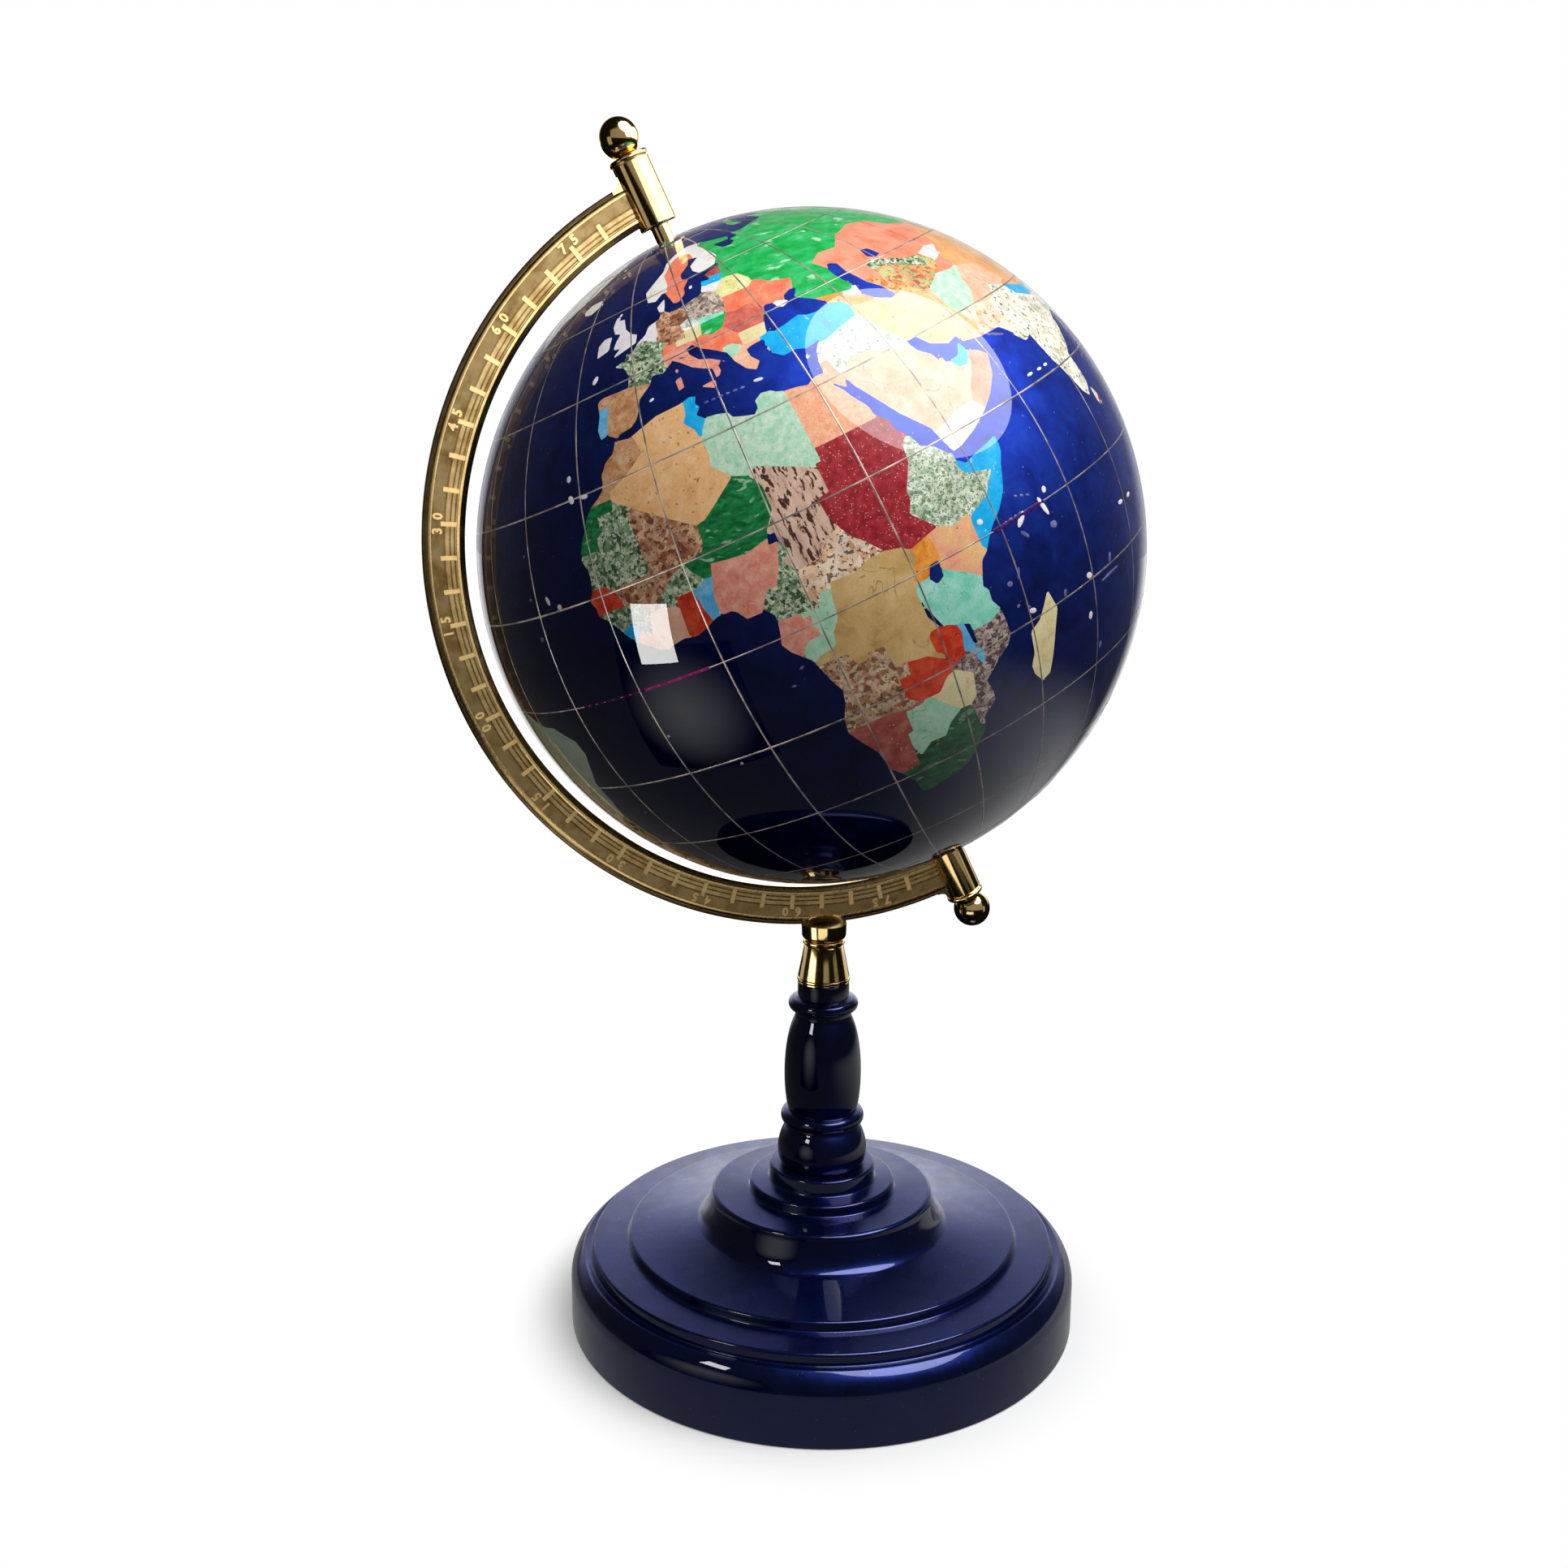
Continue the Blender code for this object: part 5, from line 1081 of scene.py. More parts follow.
def build_sphere(look):
    """The inlaid sphere, with its exact round shading."""
    world = WorldMap()
    points, faces, labels, surface = sphere_mesh(world)
    names = sorted(set(world.stones))
    slots = np.array([1 + names.index(stone) for stone in world.stones] + [0])     # the sea's comes last
    mesh = bpy.data.meshes.new("gemstone_sphere")
    mesh.from_pydata((points * SPHERE_RADIUS).tolist(), [], faces.tolist())
    mesh.polygons.foreach_set("use_smooth", np.ones(len(faces), bool))
    place = globe_place()
    mesh.transform(place)
    turn = np.array(place.to_3x3())
    radial = on_sphere(points) @ turn.T
    normals = radial[faces]
    corners = points[faces[surface:]] @ turn.T
    flat = np.cross(corners[:, 1] - corners[:, 0], corners[:, 2] - corners[:, 0])
    flat /= np.linalg.norm(flat, axis=1, keepdims=True) + 1e-12
    normals[surface:] = flat[:, None, :]
    mesh.normals_split_custom_set(normals.reshape(-1, 3).tolist())
    sphere = link(bpy.data.objects.new("gemstone_sphere", mesh))
    set_material(sphere, lapis_material(look), *(stone_material(name) for name in names))
    mesh.polygons.foreach_set("material_index", slots[labels].astype(np.int32))
    mesh.update()
    return sphere


# ---------------------------------------------------------------- Geometry Nodes

class Tree(Nodes):
    """A Geometry Nodes tree with named inputs."""

    def __init__(self, name, inputs):
        super().__init__(bpy.data.node_groups.new(name, "GeometryNodeTree"))
        self.identifiers = {}
        for label, kind in inputs:
            socket = self.tree.interface.new_socket(label, in_out="INPUT", socket_type="NodeSocket" + kind)
            self.identifiers[label] = socket.identifier
        self.tree.interface.new_socket("Geometry", in_out="OUTPUT", socket_type="NodeSocketGeometry")
        self.given = self.tree.nodes.new("NodeGroupInput").outputs
        self.place = self.node("GeometryNodeInputPosition").outputs[0]

    def vector(self, x=0.0, y=0.0, z=0.0):
        """A vector from its parts."""
        return self.node("ShaderNodeCombineXYZ", (("X", x), ("Y", y), ("Z", z))).outputs[0]

    def geometry(self, kind, inputs):
        """The geometry that a node makes or changes."""
        return self.node("GeometryNode" + kind, inputs).outputs[0]

    def points(self, count, place=(0.0, 0.0, 0.0)):
        """Loose points."""
        return self.geometry("Points", (("Count", count), ("Position", place)))

    def on_points(self, points, instance, *inputs):
        """An instance on each point."""
        return self.geometry("InstanceOnPoints", (("Points", points), ("Instance", instance), *inputs))

    def join(self, *parts):
        """Several geometries in one."""
        return self.geometry("JoinGeometry", [(0, part) for part in parts])

    def close(self, geometry):
        """End the tree: real geometry, with its material."""
        real = self.node("GeometryNodeRealizeInstances", ((0, geometry),)).outputs[0]
        inputs = (("Geometry", real), ("Material", self.given["Material"]))
        self.node("NodeGroupOutput", ((0, self.node("GeometryNodeSetMaterial", inputs).outputs[0]),))
        return self


def grow(name, tree, values, place, host=None):
    """Run a tree on an object and keep the result as its plain mesh."""
    obj = link(bpy.data.objects.new(name, host or bpy.data.meshes.new(name)))
    modifier = obj.modifiers.new(name, "NODES")
    modifier.node_group = tree.tree
    for label, value in values.items():
        modifier[tree.identifiers[label]] = value
    result = evaluated_mesh(obj)
    obj.modifiers.clear()
    obj.data = result
    set_material(obj, values["Material"])
    result.transform(place)
    return obj


def pressed(tree, curves, size):
    """Round wires along curves, pressed into flat ribbons that stand a little out of the sphere."""
    ring = tree.geometry("CurvePrimitiveCircle", (("Resolution", 10), ("Radius", size)))
    tubes = tree.geometry("CurveToMesh", (("Curve", curves), ("Profile Curve", ring), ("Fill Caps", True)))
    sphere = tree.given["Sphere radius"]
    length = tree.vectors("LENGTH", tree.place)
    depth = tree.maths("SUBTRACT", tree.maths("ADD", sphere, size), length)
    top = tree.maths("ADD", sphere, tree.given["Proud"])
    wanted = tree.maths("SUBTRACT", top, tree.product(depth, tree.given["Flatness"]))
    moved = tree.vectors("SCALE", tree.place, scale=tree.maths("DIVIDE", wanted, length))
    return tree.geometry("SetPosition", (("Geometry", tubes), ("Position", moved)))


def graticule_tree():
    """Wires along meridians and parallels, and a finer one for the equator."""
    floats = ("Sphere radius", "Step", "Polar gap", "Wire radius", "Flatness", "Proud", "Equator wire")
    tree = Tree("Graticule wires", (*((label, "Float") for label in floats),
                                    ("Meridians", "Int"), ("Parallels", "Int"), ("Material", "Material")))
    given = tree.given
    radius = given["Sphere radius"]
    sweep = tree.maths("SUBTRACT", math.pi, tree.product(2.0, given["Polar gap"]))
    half = tree.geometry("CurveArc", (("Resolution", 97), ("Radius", radius),
                                      ("Start Angle", tree.product(sweep, -0.5)), ("Sweep Angle", sweep)))
    quarter = (math.radians(90.0), 0.0, 0.0)
    upright = tree.geometry("Transform", (("Geometry", half), ("Rotation", quarter)))
    index = tree.node("GeometryNodeInputIndex").outputs[0]
    turn = tree.vector(z=tree.product(index, given["Step"]))
    meridians = tree.on_points(tree.points(given["Meridians"]), upright, ("Rotation", turn))
    circle = tree.geometry("CurvePrimitiveCircle", (("Resolution", 192), ("Radius", radius)))
    middle = tree.product(tree.maths("SUBTRACT", given["Parallels"], 1.0), 0.5)
    latitude = tree.product(tree.maths("SUBTRACT", index, middle), given["Step"])
    height = tree.vector(z=tree.product(radius, tree.maths("SINE", latitude)))
    off_equator = tree.maths("GREATER_THAN", tree.maths("ABSOLUTE", latitude), 0.01)
    parallels = tree.on_points(tree.points(given["Parallels"], height), circle,
                               ("Selection", off_equator), ("Scale", tree.maths("COSINE", latitude)))
    curves = tree.geometry("RealizeInstances", ((0, tree.join(meridians, parallels)),))
    wires = pressed(tree, curves, given["Wire radius"])
    return tree.close(tree.join(wires, pressed(tree, circle, given["Equator wire"])))


def sliver_tree():
    """Small rounded slivers of shell, one for each point, turned and sized by the point."""
    tree = Tree("Shell slivers", (("Points", "Geometry"), ("Thickness", "Float"), ("Material", "Material")))
    drop = tree.geometry("MeshUVSphere", (("Segments", 10), ("Rings", 6), ("Radius", 1.0)))
    heading, size = (tree.node("GeometryNodeInputNamedAttribute", (("Name", name),),
                               data_type="FLOAT_VECTOR").outputs[0] for name in ("heading", "size"))
    upright = tree.node("FunctionNodeAlignRotationToVector", (("Vector", tree.place),), axis="Z").outputs[0]
    headed = tree.node("FunctionNodeAlignRotationToVector", (("Rotation", upright), ("Vector", heading)),
                       axis="X", pivot_axis="Z").outputs[0]
    scale = tree.vectors("ADD", size, tree.vector(z=tree.given["Thickness"]))
    points = tree.geometry("MeshToPoints", (("Mesh", tree.given["Points"]),))
    return tree.close(tree.on_points(points, drop, ("Rotation", headed), ("Scale", scale)))


def scale_tree():
    """The ring's degree rungs: raised bars every few degrees on one face."""
    floats = ("Step", "First", "Radius", "Length", "Width", "Depth", "Face")
    tree = Tree("Degree rungs", (*((label, "Float") for label in floats),
                                 ("Rungs", "Int"), ("Material", "Material")))
    given = tree.given
    size = tree.vector(given["Length"], given["Width"], given["Depth"])
    corners = [("Vertices " + axis, 2) for axis in "XYZ"]
    bar = tree.geometry("MeshCube", (("Size", size), *corners))
    height = tree.node("ShaderNodeSeparateXYZ", ((0, tree.place),)).outputs["Z"]
    top = tree.maths("GREATER_THAN", height, 0.0)
    narrow = tree.vectors("MULTIPLY", tree.place, (0.94, 0.78, 1.0))
    bar = tree.geometry("SetPosition", (("Geometry", bar), ("Selection", top), ("Position", narrow)))
    out = tree.vector(given["Radius"], 0.0, given["Face"])
    bar = tree.geometry("Transform", (("Geometry", bar), ("Translation", out)))
    index = tree.node("GeometryNodeInputIndex").outputs[0]
    angle = tree.maths("ADD", tree.product(index, given["Step"]), given["First"])
    return tree.close(tree.on_points(tree.points(given["Rungs"]), bar, ("Rotation", tree.vector(z=angle))))


# ---------------------------------------------------------------- the sphere's inlays

# Slivers of bright shell set in the sea: longitude, latitude, heading, length and width in millimetres.
SLIVERS = """
48.8 -.5 41 5 1.9, 53.6 -.6 -73 6.4 1.6, 55 1.4 60 2 1.7, 45.7 -13.6 -27 2.6 1.6, 59.1 -14.2 -25 2.8 1.9,
58.1 -20.4 80 2.5 1.8, 73.3 -7.9 -5 3.6 1.4, 77.5 -8.1 2 3.4 1.4, 22.2 35 -9 2.8 1, -10 47.5 62 2.9 1.8,
-17.2 33.2 85 2 1.7, -17.1 30 -62 2.8 1.9, -14.1 29.7 -10 2.8 1.4, -26.9 16.9 -66 3 1.5,
-24.4 15.5 -12 2 1.7, 65.1 16.5 2 3 .9, 68.1 16.4 -1 2.6 .9, 70.4 16.4 1 2.4 .9, 2.9 39.6 15 1.6 .9,
-3.6 58.9 60 1.4 1, 18.5 57.5 70 1.6 1, 42.2 2.2 -26 2 1.6, 81.5 6.4 80 1.2 .8, 92.8 12.3 80 1.6 .9,
-64.8 32.3 20 1.4 1, -59.5 -51.7 0 2.6 1.6, 69.5 -49.3 30 2.2 1.3, -36.5 -54.4 -30 2.4 1.2,
-155.5 19.6 60 1.9 1.4, -158 21.4 -30 1.4 .9, 178 -17.8 40 1.9 1.4, 165.5 -21.3 -40 2.9 1.2,
-149.5 -17.6 0 1.4 1, -171.8 -13.8 -15 1.6 .9, 167 -15.5 75 2.2 1, 160 -9 -35 3.2 1, -61 14.5 80 1.9 .8,
-66.5 18.2 5 2.1 1, -90.8 -.6 30 1.5 1.1, 144.8 13.5 60 1.2 .8, 121 24 70 2.7 1.4, 110 19.2 20 2.2 1.6,
-91 74.5 40 3.4 1.8, -120 77 -20 3.2 1.6, 127 -8.8 12 3.8 1.2, -12.5 74.5 70 1.4 1, -8.5 71 40 1.4 .8,
96 80 20 2.8 1.4, 142 75.5 -10 3.2 1.4, -14.4 -7.9 0 1.1 .9, -5.7 -15.9 40 1.1 .9
"""
# Slivers worn nearly to the colour of the sea, given in the same way.
DIM_SLIVERS = """
54.3 -3.8 -24 2.8 2.2, 48.5 -2.7 -49 3.4 1.2, 65.7 -14 72 3 1.6, 65 -16.4 2 11 1, 52.8 -14.2 74 2.4 1.3,
43.1 -8 -27 2 1.6, 60.9 -26.8 86 2.4 1.4, 45.1 -7.2 67 3.4 .9, 64.7 24.3 -23 7 1, -31.4 24.4 77 1.2 1,
-31.2 11.6 -8 2 1.6, -31.6 17.8 -9 1.4 1.1, 43.4 -11.7 20 1.2 .9, 45.2 -12.8 0 1.2 .9, -32 -21 0 1.2 .9,
10 -5.1 20 1.6 .7, 7.8 -7.2 0 1.4 .7, 10.8 44.2 -20 1.6 .6
"""
# Rows of shallow strokes where a sea is named: longitude, latitude, heading, strokes and pitch.
NAME_ROWS = """
15.8 35.2 -4 6 2.1, 47.6 .3 2 4 1.9, 50.6 2.4 -20 3 2.2, 84 -28 8 7 2.4, -140 24 6 9 2.6,
-120 -22 6 9 2.6, 88 14 8 5 1.9, 162 32 6 7 2.4, -80 -40 4 6 2.4
"""


def on_map(longitude, latitude, heading):
    """A unit vector in the globe's own frame, and the direction there that is so far north of east."""
    lon, lat, turn = (math.radians(angle) for angle in (longitude, latitude, heading))
    out = Vector((math.cos(lat) * math.cos(lon), math.cos(lat) * math.sin(lon), math.sin(lat)))
    east = Vector((-math.sin(lon), math.cos(lon), 0.0))
    return out, math.cos(turn) * east + math.sin(turn) * out.cross(east)


def sliver_host(marks):
    """A mesh of points with the heading and size of each sliver: (place, heading, length, width)."""
    mesh = bpy.data.meshes.new("slivers")
    mesh.from_pydata([mark[0] for mark in marks], [], [])
    heading = mesh.attributes.new("heading", "FLOAT_VECTOR", "POINT")
    size = mesh.attributes.new("size", "FLOAT_VECTOR", "POINT")
    for index, (_, direction, length, width) in enumerate(marks):
        heading.data[index].vector = direction
        size.data[index].vector = (0.5 * length, 0.5 * width, 0.0)
    return mesh


def sliver_marks(table):
    """Every sliver in a table, laid on the sphere."""
    marks = []
    for longitude, latitude, heading, length, width in rows(table):
        out, along = on_map(longitude, latitude, heading)
        marks.append((out * SPHERE_RADIUS, along, length * MM, width * MM))
    return marks


def name_marks(chance):
    """The strokes of every name row."""
    marks = []
    for longitude, latitude, heading, count, pitch in rows(NAME_ROWS):
        out, along = on_map(longitude, latitude, heading)
        for index in range(int(count)):
            offset = (index - 0.5 * (count - 1)) * pitch * MM
            place = (out * SPHERE_RADIUS + along * offset).normalized() * SPHERE_RADIUS
            marks.append((place, along, chance.uniform(1.2, 1.7) * MM, 0.7 * MM))
    return marks


def enamel_line(name, west, east, width):
    """A flat band of enamel along a stretch of the equator."""
    steps = 36
    flatness = 0.11
    curve = bpy.data.curves.new(name, "CURVE")
    curve.dimensions = "3D"
    curve.bevel_depth = 0.5 * width
    curve.bevel_resolution = 2
    curve.use_fill_caps = True
    spline = curve.splines.new("POLY")
    spline.points.add(steps)
    for step, point in enumerate(spline.points):
        angle = math.radians(west + (east - west) * step / steps)
        point.co = (SPHERE_RADIUS * math.cos(angle), SPHERE_RADIUS * math.sin(angle), 0.0, 1.0)
    work = from_curve(curve)
    for vert in work.verts:
        length = vert.co.length
        vert.co *= (SPHERE_RADIUS + flatness * (length - SPHERE_RADIUS)) / length
    work.transform(globe_place())
    return smooth(mesh_object(name, work), 60.0)


# ---------------------------------------------------------------- the arm

RELIEF_DEPTH = 0.5 * MM                          # of a rung or a numeral, half of it buried


def ring_section():
    """The half ring's section as (radius, height) in millimetres, front face then back."""
    front = (
        (129.95, 0.50), (129.80, 1.00), (129.45, 1.34), (129.00, 1.46), (128.80, 1.34), (128.60, 1.36),
        (128.40, 1.56), (127.90, 1.80), (127.60, 1.90), (127.05, 1.88), (126.95, 1.62),
        (123.14, 1.62), (123.06, 1.40), (122.72, 1.40), (122.64, 1.68),
        (121.40, 1.68), (121.32, 1.40), (120.98, 1.40), (120.90, 1.68),
        (120.00, 1.68), (119.92, 1.40), (119.58, 1.40), (119.50, 1.62),
        (119.20, 1.62), (119.12, 1.86), (118.95, 1.97), (118.20, 1.97), (118.04, 1.86), (117.96, 1.52),
        (117.40, 1.30), (116.80, 0.98), (116.45, 0.50),
    )
    back = [(radius, -height) for radius, height in reversed(front)]
    return [scaled(*point) for point in list(front) + back]


def loft(name, rows, place):
    """An object with a skin over rows of points, each a closed outline, and with its two ends capped."""
    work = bmesh.new()
    rows = [[work.verts.new(point) for point in row] for row in rows]
    for row, after in zip(rows, rows[1:]):
        for index in range(len(row)):
            other = (index + 1) % len(row)
            work.faces.new((row[index], row[other], after[other], after[index]))
    work.faces.new(rows[0])
    work.faces.new(list(reversed(rows[-1])))
    bmesh.ops.recalc_face_normals(work, faces=work.faces)
    work.transform(place)
    return mesh_object(name, work)


def make_ring():
    """The half ring, its section swept round from inside one barrel's wall to the other's."""
    steps = 256
    rows = []
    for step in range(steps + 1):
        row = []
        for radius, height in ring_section():
            end = math.acos(-(RING_END_ACROSS + RING_ACROSS) / radius)
            angle = end + (math.tau - 2.0 * end) * step / steps
            row.append((radius * math.cos(angle), radius * math.sin(angle), height))
        rows.append(row)
    return loft("meridian_arm_cast", rows, ring_place())


def make_web(name, side_along, towards):
    """The small fillet web between ring and barrel, on one side of the ring."""
    side = -BARREL_RADIUS
    bury = 1.2 * MM
    centre = (side - WEB_RADIUS, side_along + towards * WEB_RADIUS)
    inside_ring = side_along - towards * bury
    outline = arc(centre, (WEB_RADIUS, WEB_RADIUS), 0.0, -90.0 * towards, 10)
    outline += [(centre[0], inside_ring), (side + bury, inside_ring), (side + bury, centre[1])]
    half = 0.82 * RING_HALF
    rows = [[(across, along, height) for across, along in outline] for height in (-half, half)]
    return loft(name, rows, Matrix.Translation(CENTRE - RING_CENTRE) @ ring_place())


def barrel_profile(inner, outer):
    """A bored barrel with a rim bead and a fine groove below it, as a closed outline."""
    rim = 1.6 * MM
    radius = BARREL_RADIUS
    profile = [(BORE_RADIUS, outer - 0.4 * MM), (BORE_RADIUS + 0.4 * MM, outer)]
    profile += bead(radius - 0.1 * MM, radius + 0.38 * MM, outer - 0.5 * rim, 0.5 * rim, 10)
    profile += [(radius - 0.25 * MM, outer - rim - 0.25 * MM), (radius, outer - rim - 0.5 * MM)]
    profile += arc((radius - 0.9 * MM, inner + 0.9 * MM), scaled(0.9, 0.9), 0.0, -90.0, 6)
    profile += [(BORE_RADIUS + 0.4 * MM, inner), (BORE_RADIUS, inner + 0.4 * MM)]
    return profile


def make_boss():
    """The boss under the ring: a flare that rounds over onto the ring's faces."""
    foot, flare, shoulder, top = scaled(139.7, 141.0, 145.2, 148.4)
    profile = bezier((0.0, top), (scaled(4.4, 148.4), scaled(7.2, 147.4)), (7.95 * MM, shoulder), 14)
    profile += bezier((7.8 * MM, flare), (scaled(7.7, 140.4), scaled(7.3, 139.9)), (7.0 * MM, foot), 6)
    profile.append((0.0, foot))
    return turned("boss", profile, 64)


def make_arm():
    """The half ring, both barrels, the webs and the boss in one casting."""
    arm = make_ring()
    combine(arm, make_boss(), "UNION")
    for name, span, north in (("top_barrel", TOP_BARREL, True), ("bottom_barrel", BOTTOM_BARREL, False)):
        profile = barrel_profile(*span)
        combine(arm, turned(name, profile + profile[:1], 64, axis_place(north)), "UNION")
    web_across = RING_ACROSS + BARREL_RADIUS + WEB_RADIUS
    outer, inner = (math.sqrt(radius ** 2 - web_across ** 2) for radius in (RING_OUTER, RING_INNER))
    combine(arm, make_web("top_web", RING_ALONG + outer, 1.0), "UNION")
    combine(arm, make_web("bottom_outer_web", RING_ALONG - outer, -1.0), "UNION")
    combine(arm, make_web("bottom_inner_web", RING_ALONG - inner, 1.0), "UNION")
    return smooth(arm, 24.0)


def between(values, low, high):
    """Which values lie between two limits, given in millimetres."""
    return (values > low * MM) & (values < high * MM)


def finish_arm(mesh):
    """Give the ring's sunk tracks their dull finish and the barrels and boss the polished one. The outer
    number track is darker still, a little from its rougher finish and mostly as painted shade. The grooves,
    the rounded edges and the boss's crown get painted shade.
    """
    edge, track, polished, number_track, painted_shade = range(5)
    back = np.array(ring_place().inverted())
    centres = np.empty(3 * len(mesh.polygons))
    mesh.polygons.foreach_get("center", centres)
    centres = centres.reshape(-1, 3)
    places = centres @ back[:3, :3].T + back[:3, 3]
    radius = np.hypot(places[:, 0], places[:, 1])
    height = np.abs(places[:, 2])
    ring = between(radius, 116.4, 130.0) & (height < 2.0 * MM)
    ring &= places[:, 0] + RING_ACROSS < -RING_END_ACROSS
    sunk = between(radius, 119.15, 127.0) & (height < 1.7 * MM)
    groove = between(height, 1.3, 1.6)
    rounded = groove | ~between(radius, 118.0, 127.1) & (height < 1.84 * MM)
    inner_wall = (radius < 116.7 * MM) & (height < 0.4 * MM)
    from_stem = np.hypot(centres[:, 0], centres[:, 1])
    crown = (from_stem < 9.0 * MM) & between(centres[:, 2], 144.9, 149.0) & ~ring
    # Painted shade: the grooves, the rounded edges and the boss's crown take a much darker brass, and the
    # outer number track takes a darker one than the inner track.
    index = np.select((crown, ~ring | inner_wall, rounded, sunk & (radius > 123.0 * MM), sunk),
                      (painted_shade, polished, painted_shade, number_track, track), edge)
    mesh.polygons.foreach_set("material_index", index.astype(np.int32))
    mesh.update()


def numeral(text, size):
    """A raised numeral as a bmesh, upright in the XY plane and centred."""
    curve = bpy.data.curves.new("numeral", "FONT")
    curve.body = text
    curve.size = size
    curve.extrude = 0.5 * RELIEF_DEPTH
    curve.offset = 0.17 * MM
    curve.resolution_u = 2
    curve.align_x = "CENTER"
    curve.align_y = "CENTER"
    return from_curve(curve)


def numerals(look, back):
    """The ring's plain numbers every 15 degrees, a digit each side of their rung."""
    radius = 125.0 * MM
    spread = 2.3 * MM / radius
    side = -1.0 if back else 1.0
    upright = Matrix.Rotation(math.pi if back else 0.0, 4, "Y")
    whole = bmesh.new()
    for index in range(-5, 6):
        text = str(abs(index) * GRATICULE_STEP) if index else "00"
        middle = math.pi + index * math.radians(GRATICULE_STEP)
        for digit, shift in zip(text, (spread, -spread)):
            angle = middle + side * shift
            turn = Matrix.Rotation(angle - math.radians(90.0), 4, "Z")
            out = Vector((radius * math.cos(angle), radius * math.sin(angle), side * 1.58 * MM))
            work = numeral(digit, look.numeral_size)
            work.transform(Matrix.Translation(out) @ turn @ upright)
            mesh = bpy.data.meshes.new("digit")
            work.to_mesh(mesh)
            work.free()
            whole.from_mesh(mesh)
            bpy.data.meshes.remove(mesh)
    whole.transform(ring_place())
    return mesh_object("numerals", whole)


# ---------------------------------------------------------------- the turned stand

def base_profile():
    """The base from the top disc down to the underside."""
    edge = 0.9 * MM
    lower_disc, dome = scaled(50.0, 46.0)
    profile = [(0.0, BASE_TOP)]
    for radius, top, foot in ((19.0 * MM, BASE_TOP, lower_disc), (26.1 * MM, lower_disc, dome)):
        profile += outer_edge(radius, top, edge) + inner_corner(radius, foot, edge)
    profile += outer_edge(39.8 * MM, dome, 1.5 * edge, 7)
    profile += bezier(scaled(40.0, 43.5), (scaled(41.2, 40.5), scaled(42.6, 34.9)), scaled(45.6, 33.9), 14)
    profile += outer_edge(69.8 * MM, 31.6 * MM, edge) + inner_corner(70.2 * MM, 28.3 * MM, edge)
    profile += outer_edge(83.1 * MM, 28.3 * MM, edge) + inner_corner(83.5 * MM, 24.4 * MM, 0.55 * MM)
    profile += [scaled(84.9, 24.6)] + arc(scaled(86.2, 23.9), scaled(0.95, 0.95), 105.0, 45.0, 6)
    profile += bezier(scaled(86.95, 24.5), (scaled(88.7, 22.8), (BASE_RADIUS, 20.2 * MM)),
                      (BASE_RADIUS, 16.0 * MM), 14)
    profile += arc((BASE_RADIUS - edge, edge), (edge, edge), 0.0, -90.0, 4)
    profile.append((0.0, 0.0))
    return profile


def stem_profile():
    """The baluster from its tenon down to the bell's foot."""
    edge = 0.3 * MM
    profile = [(0.0, STEM_TOP)] + outer_edge(9.15 * MM, STEM_TOP, edge, 3)
    profile += [scaled(9.15, 118.6)] + bead(*scaled(10.0, 12.4, 115.8, 2.4))
    profile += [scaled(9.9, 113.2), scaled(9.9, 111.8)]
    profile += bezier(scaled(10.2, 110.8), (scaled(14.2, 102.5), scaled(14.5, 86.0)), scaled(12.6, 77.2), 26)
    profile += [scaled(12.5, 76.3)] + bead(*scaled(12.9, 14.9, 73.6, 2.5)) + [scaled(12.9, 70.9)]
    profile += bezier(scaled(13.5, 69.8), (scaled(15.2, 67.2), scaled(17.4, 60.5)),
                      (15.0 * MM, STEM_FOOT + edge), 18)
    profile += [(14.7 * MM, STEM_FOOT), (0.0, STEM_FOOT)]
    return profile


def ferrule_profile():
    """The brass cone with a bead and a fine groove at its top, and a bead at its foot."""
    profile = [(0.0, FERRULE_TOP), (6.8 * MM, FERRULE_TOP)]
    profile += bead(6.85 * MM, 7.5 * MM, FERRULE_TOP - 0.85 * MM, 0.8 * MM, 10)
    profile += [scaled(6.75, 137.4), scaled(6.95, 137.1), (9.1 * MM, FERRULE_FOOT + 1.9 * MM)]
    profile += bead(9.0 * MM, 9.38 * MM, FERRULE_FOOT + 1.0 * MM, 0.7 * MM, 8)
    profile += [(9.1 * MM, FERRULE_FOOT), (0.0, FERRULE_FOOT)]
    return profile


def pin_profile(ball):
    """A ball head and its shank, from the ball's top to the end inside the globe."""
    neck = -math.degrees(math.acos(PIN_RADIUS / BALL_RADIUS))
    profile = arc((0.0, ball), (BALL_RADIUS, BALL_RADIUS), 90.0, neck, 30)
    profile[0] = (0.0, ball + BALL_RADIUS)
    profile += [(PIN_RADIUS, PIN_FOOT + 0.3 * MM), (PIN_RADIUS - 0.3 * MM, PIN_FOOT), (0.0, PIN_FOOT)]
    return profile


# ---------------------------------------------------------------- the stage

CAMERA_BACK = Vector((-0.2271, -0.9540, 0.1959))     # from what the camera looks at towards it


def aimed(place, target):
    """The turn that points an object's -Z from a place at a target."""
    return (Vector(target) - Vector(place)).to_track_quat("-Z", "Y").to_matrix().to_4x4()


def area_light(name, place, target, size, power, shape="RECTANGLE"):
    """An area lamp that the camera doesn't see."""
    lamp = bpy.data.lights.new(name, "AREA")
    lamp.shape = shape
    lamp.size, lamp.size_y = size
    lamp.energy = power
    obj = link(bpy.data.objects.new(name, lamp))
    obj.matrix_world = Matrix.Translation(place) @ aimed(place, target)
    obj.visible_camera = False
    return obj


def ghost(obj, finish, seen, glow):
    """Make an object glow for some reflections only, and clear to all else."""
    clear = finish.node("ShaderNodeBsdfTransparent").outputs[0]
    set_material(obj, finish.surface(finish.either(seen, clear, finish.glow(glow))))
    obj.visible_camera = False
    obj.visible_diffuse = False
    obj.visible_shadow = False


